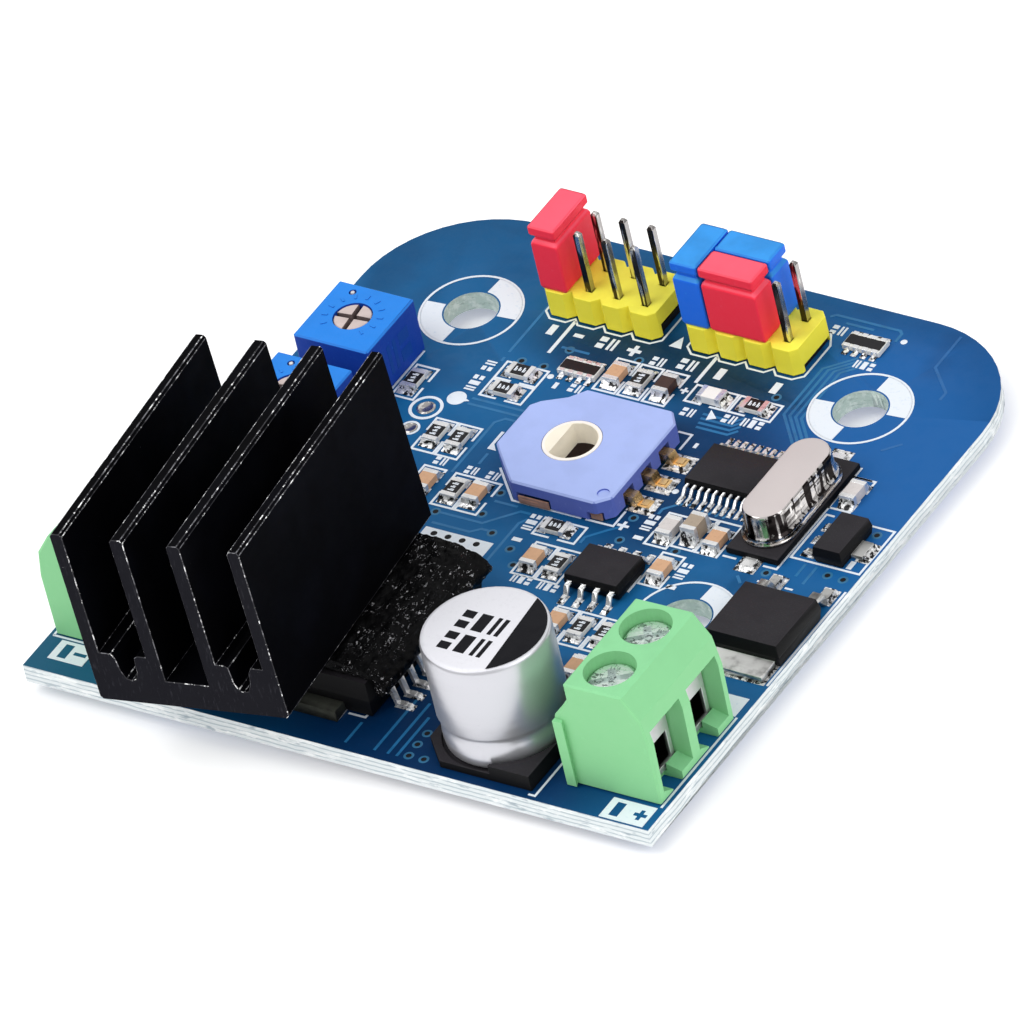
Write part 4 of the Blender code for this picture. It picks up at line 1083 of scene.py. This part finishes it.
def make_pads():
    """Pads and solder of the chips with leads, the crystal, the sensor and the power parts."""
    for node, count, pitch, along, start, end, half, rise in LEAD_ROWS:
        piece = Piece(f"pads_{node}")
        centre = middle_of(node)
        for i in range(count):
            shift = (i - (count - 1) / 2) * pitch
            place = (centre.x, centre.y + shift) if along else (centre.x + shift, centre.y)
            for turn in ((0, 180) if along else (90, 270)):
                toe(piece, *place, turn, start, end, half, rise)
        piece.done()
    piece = Piece("pads_power")
    low, high = place_of("regulator")
    middle = (low + high) / 2
    for shift in (-1.5, 0.0, 1.5):
        toe(piece, middle.x, middle.y + shift, 180, 1.55, 2.75, 0.42, 0.3)
    toe(piece, middle.x, middle.y, 0, 1.6, 2.75, 1.1, 0.42)
    low, high = place_of("transistor")
    middle = (low.x + high.x) / 2
    for shift in (-2.29, 2.29):
        toe(piece, middle + shift, high.y - 1.3, 90, 0.0, 1.75, 0.65, 0.5)
    piece.block("solder", (middle - 3.0, middle + 3.0), (low.y - 0.25, low.y + 2.2), PAD_Z)
    piece.done()
    piece = Piece("pads_crystal")
    low, high = place_of("crystal_base")
    centre = (low + high) / 2
    for turn in (90, 270):
        toe(piece, centre.x, centre.y, turn, 5.4, (high.y - low.y) / 2 + 0.55, 0.9, 0.18)
    piece.done()
    piece = Piece("pads_sensor")
    for y in SENSOR_PINS:
        piece.block("solder", (34.65, 36.9), (y - 0.97, y + 0.97), PAD_Z)
        mound = [(35.4, y - 0.6), (36.6, y - 0.6), (36.7, y), (36.6, y + 0.6), (35.4, y + 0.6)]
        piece.prism("solder", mound, (0.03, 0.24), top=0.7)
        strip = [(35.55, y - 0.36), (36.3, y - 0.36), (36.3, y + 0.36), (35.55, y + 0.36)]
        piece.prism("gold", strip, (0.2, 0.36), top=0.8)
    for x, y, wide, tall in ((27.8, 28.95, 1.35, 0.8), (33.25, 29.25, 0.5, 0.75)):
        piece.block("strap", (x - wide, x + wide), (y, y + 0.12), (0.12, tall))
        piece.block("strap", (x - wide * 0.9, x + wide * 0.3), (y - 0.04, y + 0.05), (0.25, tall * 0.7))
    piece.done()


# ---- small details
def make_cut_ends():
    """A near-black block in the hollow below each pin strip's cut end: painted shade."""
    piece = Piece("header_hollows")
    for side in HEADERS:
        low, high = place_of(f"header_base_{side}")
        piece.block("dark", (high.x - 0.72, high.x - 0.3), (low.y + 0.9, high.y - 0.55), (0.02, 0.6))
    piece.done()


def make_glue():
    """The bead of thermal glue, drawn out into lumps and ridges."""
    made = Piece("glue_bead").cad("thermal_adhesive", lambda face, normal: "glue")
    glue = made.done(replaces=["thermal_adhesive"], slot="black_mould")
    skin = glue.modifiers.new("skin", "REMESH")
    skin.mode = "VOXEL"
    skin.voxel_size = 0.14 * MM
    skin.use_smooth_shade = True
    for name, size, depth in (("lumps", 1.1, 0.45), ("strings", 0.35, 0.2)):
        texture = bpy.data.textures.new(name, "CLOUDS")
        texture.noise_scale = size * MM
        push = glue.modifiers.new(name, "DISPLACE")
        push.texture = texture
        push.strength = depth * MM
        push.mid_level = 0.6


def make_can_marks():
    """Polarity segment and rows of plain marks on the capacitor's top."""
    low, high = place_of("capacitor_can")
    centre, top, reach = (low + high) / 2, high.z, (high.x - low.x) / 2 - 0.25
    piece = Piece("can_marks")
    start, end = atan2(4.3, 2.0), atan2(-4.0, 2.6)
    angles = [start + (end - start) * i / 24 for i in range(25)]
    z = (top - 0.02, top + 0.012)
    segment = [(centre.x + reach * cos(a), centre.y + reach * sin(a)) for a in reversed(angles)]
    piece.prism("can_print", segment, z)
    for y in (centre.y + 0.4, centre.y - 2.1):
        marks(piece, "can_print", centre.x - 0.45, y, 3, 1.95, 180, z)
    piece.done()


def make_sensor_rim():
    """The white lip round the rotor's mouth."""
    low, high = place_of("sensor_rotor")
    centre = (low + high) / 2
    piece = Piece("sensor_rim")
    lip = [(SHAFT_R + 0.02, high.z - 0.06), (SHAFT_R + 0.05, high.z + 0.01), (SHAFT_R + 0.28, high.z + 0.01),
           (SHAFT_R + 0.3, high.z - 0.06)]
    piece.turned("rim", centre.x, centre.y, lip, 48)
    piece.done("sensor_turning_part")


DIAL_R, DIAL_REACH, DIAL_STEP = 2.25, 130, 26


def make_trimmer_marks():
    """Etched bars on each trimmer's side and dial marks round its rotor, with a bright rivet in the vent."""
    for key in TRIMMERS:
        low, high = place_of(f"trimmer_{key}_body")
        rotor = middle_of(f"trimmer_{key}_rotor")
        piece = Piece(f"trimmer_{key}_marks")
        side = (high.x - 0.03, high.x + 0.012)
        bars = [(0.9, 1.9, 1.0, 3.7), (2.3, 2.7, 1.0, 3.7), (3.1, 3.5, 1.0, 3.7), (3.9, 5.2, 1.0, 2.1),
                (3.9, 5.2, 2.6, 3.7)]
        for start, end, foot, head in bars:
            piece.block("etched", side, (low.y + start, low.y + end), (foot, head))
        for angle in range(-DIAL_REACH, DIAL_REACH + 1, DIAL_STEP):
            a = radians(angle + 90)
            x, y = rotor.x + DIAL_R * cos(a), rotor.y + DIAL_R * sin(a)
            piece.block("trimmer", (-0.09, 0.09), (-0.24, 0.24), (high.z - 0.03, high.z + 0.05), angle,
                        (x, y))
        rivet = [(0.0, 0.02), (0.15, 0.0), (0.2, -0.1), (0.2, -0.35), (0.0, -0.35)]
        # The vent is a near-black disc: painted shade in the hole.
        vent = [(0.0, -0.2), (0.29, -0.2), (0.29, -0.4), (0.0, -0.4)]
        for finish, profile in (("tin", rivet), ("dark", vent)):
            piece.turned(finish, low.x + 1.8, low.y + 5.85, [(r, high.z + rise) for r, rise in profile], 16)
        piece.done()


# ---- chips with leads
def make_leaded(node, name, half_x, half_y, low, end="tin"):
    """A CAD chip whose faces outside its moulding are metal; end is the finish beyond its short sides."""
    centre = middle_of(node)

    def choose(face, normal):
        if abs(face.y - centre.y) > half_y:
            return end
        return "tin" if abs(face.x - centre.x) > half_x or face.z < low else "mould"

    Piece(name).cad(node, choose).done(bevel=0.04, segments=1, replaces=[node], slot="black_mould")


def make_semiconductors():
    make_leaded("driver_chip", "driver_package", 5.52, 7.97, 0.15, "slug")
    make_leaded("controller_chip", "controller_package", 3.3, 2.21, 0.1)
    make_leaded("amplifier_chip", "amplifier_package", 2.46, 1.96, 0.12)
    for node, name, half_x, half_y, x, y in (("regulator", "regulator_package", 1.32, 2.27, 53.0, 32.9),
                                             ("transistor", "transistor_package", 3.29, 3.06, 52.6, 22.25)):
        def choose(face, normal, half_x=half_x, half_y=half_y, x=x, y=y):
            return "tab" if abs(face.x - x) > half_x or abs(face.y - y) > half_y or face.z < 0.07 else "mould"

        Piece(name).cad(node, choose).done(bevel=0.05, segments=1, replaces=[node], slot="black_mould")


# ---- everything kept from the CAD model
def refinish_cad():
    for side in ("input", "mode"):
        refinish(f"header_base_{side}", "yellow", 0.08)
        for number in HEADER_PINS:
            refinish(f"header_pin_{side}_{number}", "pin", 0.04)
    jumpers = {"input": "red", "mode_front": "red", "mode_side": "blue", "mode_back": "blue"}
    for name, finish in jumpers.items():
        refinish(f"jumper_{name}", finish, 0.18, 3)
    for side in ("supply", "motor"):
        refinish(f"terminal_housing_{side}", "green", 0.05)
        for number in POLES:
            refinish(f"terminal_screw_{side}_{number}", "zinc", 0.08)
            refinish(f"terminal_cage_{side}_{number}", f"cage_{side}", 0.05)
            refinish(f"terminal_contact_{side}_{number}", "brass")
    # The heat sink's rounded arrises take the edge finish: painted highlight along them, with wear and bright
    # nicks.
    for node, *looks in (("heat_sink", "anodised", 0.065, 1, "worn"), ("capacitor_base", "mould", 0.05),
                         ("capacitor_seal", "dark"), ("capacitor_winding", "tin"),
                         ("sensor_housing", "lavender", 0.06), ("sensor_rotor", "cream", 0.05),
                         ("sensor_wiper", "copper"), ("sensor_track", "gold")):
        refinish(node, *looks)
    for key in TRIMMERS:
        refinish(f"trimmer_{key}_body", "trimmer", 0.08)
        refinish(f"trimmer_{key}_element", "resin")


def make_cans():
    def can(face, normal):
        return "can_top" if normal.z > 0.9 and face.z > 10 else "can_side"

    def crystal(face, normal):
        return "satin" if normal.z > 0.9 and face.z > 3 else "chrome"

    def plate(face, normal):
        low, high = place_of("crystal_base")
        middle = (low.y + high.y) / 2
        return "tin" if abs(face.y - middle) > 5.98 else "mould"

    for key in TRIMMERS:
        top = place_of(f"trimmer_{key}_rotor")[1].z

        # Faces inside the cross slot take the slot finish: painted shade.
        def dial(face, normal, top=top):
            return "slot" if 0.1 < top - face.z < 0.9 and (normal.z > 0.5 or abs(normal.z) < 0.2) else "pale"

        Piece(f"trimmer_{key}_dial_face").cad(f"trimmer_{key}_rotor", dial).done(
            f"trimmer_{key}_dial", bevel=0.08, segments=3, replaces=[f"trimmer_{key}_rotor"],
            slot="rotor_cream")
    Piece("crystal_plate").cad("crystal_base", plate).done(
        bevel=0.05, replaces=["crystal_base"], slot="black_mould")
    Piece("capacitor_shell").cad("capacitor_can", can).done(replaces=["capacitor_can"], slot="can_metal")
    Piece("crystal_shell").cad("crystal_can", crystal).done(replaces=["crystal_can"], slot="can_metal")


# ---- studio
WORLD, HORIZON = 0.8, 0.45
SENSOR_WIDE, FOCAL_LENGTH = 36.0, 843.75
CAMERA_PLACE, CAMERA_TURN = (0.919608, -1.066375, 1.116879), (50.8095, 10.7507, 32.2037)
LAMPS = [("key", (-0.22, -0.30, 0.55), 0.45, 2.05), ("fill", (0.45, -0.05, 0.30), 0.40, 0.9)]


def make_studio():
    scene = bpy.context.scene
    scene.view_settings.view_transform = "Standard"
    world = bpy.data.worlds.new("studio")
    world.use_nodes = True
    background = world.node_tree.nodes["Background"]
    sky = world.node_tree.nodes.new("ShaderNodeSeparateXYZ")
    rise = world.node_tree.nodes.new("ShaderNodeMapRange")
    place = world.node_tree.nodes.new("ShaderNodeTexCoord")
    for name, value in (("From Min", 0.05), ("From Max", 0.45), ("To Min", HORIZON), ("To Max", 1.0)):
        rise.inputs[name].default_value = value
    links = world.node_tree.links
    links.new(place.outputs["Generated"], sky.inputs["Vector"])
    links.new(sky.outputs["Z"], rise.inputs["Value"])
    links.new(rise.outputs["Result"], background.inputs["Color"])
    background.inputs["Strength"].default_value = WORLD
    scene.world = world

    floor = Finish("pale_floor", (0.80, 0.80, 0.80), 0.9, Emission_Color=(1.0, 1.0, 1.0, 1.0),
                   Emission_Strength=0.35)
    floor.patches((0.78, 0.78, 0.78), 0.4, 0.7, 0.5, 40)
    mesh = bpy.data.meshes.new("floor")
    work = bmesh.new()
    bmesh.ops.create_grid(work, x_segments=1, y_segments=1, size=3.0)
    work.to_mesh(mesh)
    work.free()
    mesh.materials.append(floor.material)
    plane = bpy.data.objects.new("floor", mesh)
    plane.location = (0.0, 0.0, cad_box[0].z)
    scene.collection.objects.link(plane)

    for name, place, size, power in LAMPS:
        lamp = bpy.data.lights.new(name, "AREA")
        lamp.size = size
        lamp.energy = power
        holder = bpy.data.objects.new(name, lamp)
        holder.location = place
        holder.rotation_euler = (-Vector(place)).to_track_quat("-Z", "Y").to_euler()
        scene.collection.objects.link(holder)

    lens = bpy.data.cameras.new("camera")
    lens.sensor_width = SENSOR_WIDE
    lens.lens = FOCAL_LENGTH
    lens.clip_end = 10.0
    camera = bpy.data.objects.new("camera", lens)
    camera.location = CAMERA_PLACE
    camera.rotation_euler = [radians(a) for a in CAMERA_TURN]
    scene.collection.objects.link(camera)
    scene.camera = camera


make_board()
make_rings()
make_brackets()
make_outlines()
make_test_points()
make_marks()
make_labels()
make_vias()
make_tracks()
make_chips()
make_joints()
make_pads()
make_cut_ends()
make_glue()
make_can_marks()
make_sensor_rim()
make_trimmer_marks()
make_semiconductors()
refinish_cad()
make_cans()
make_studio()
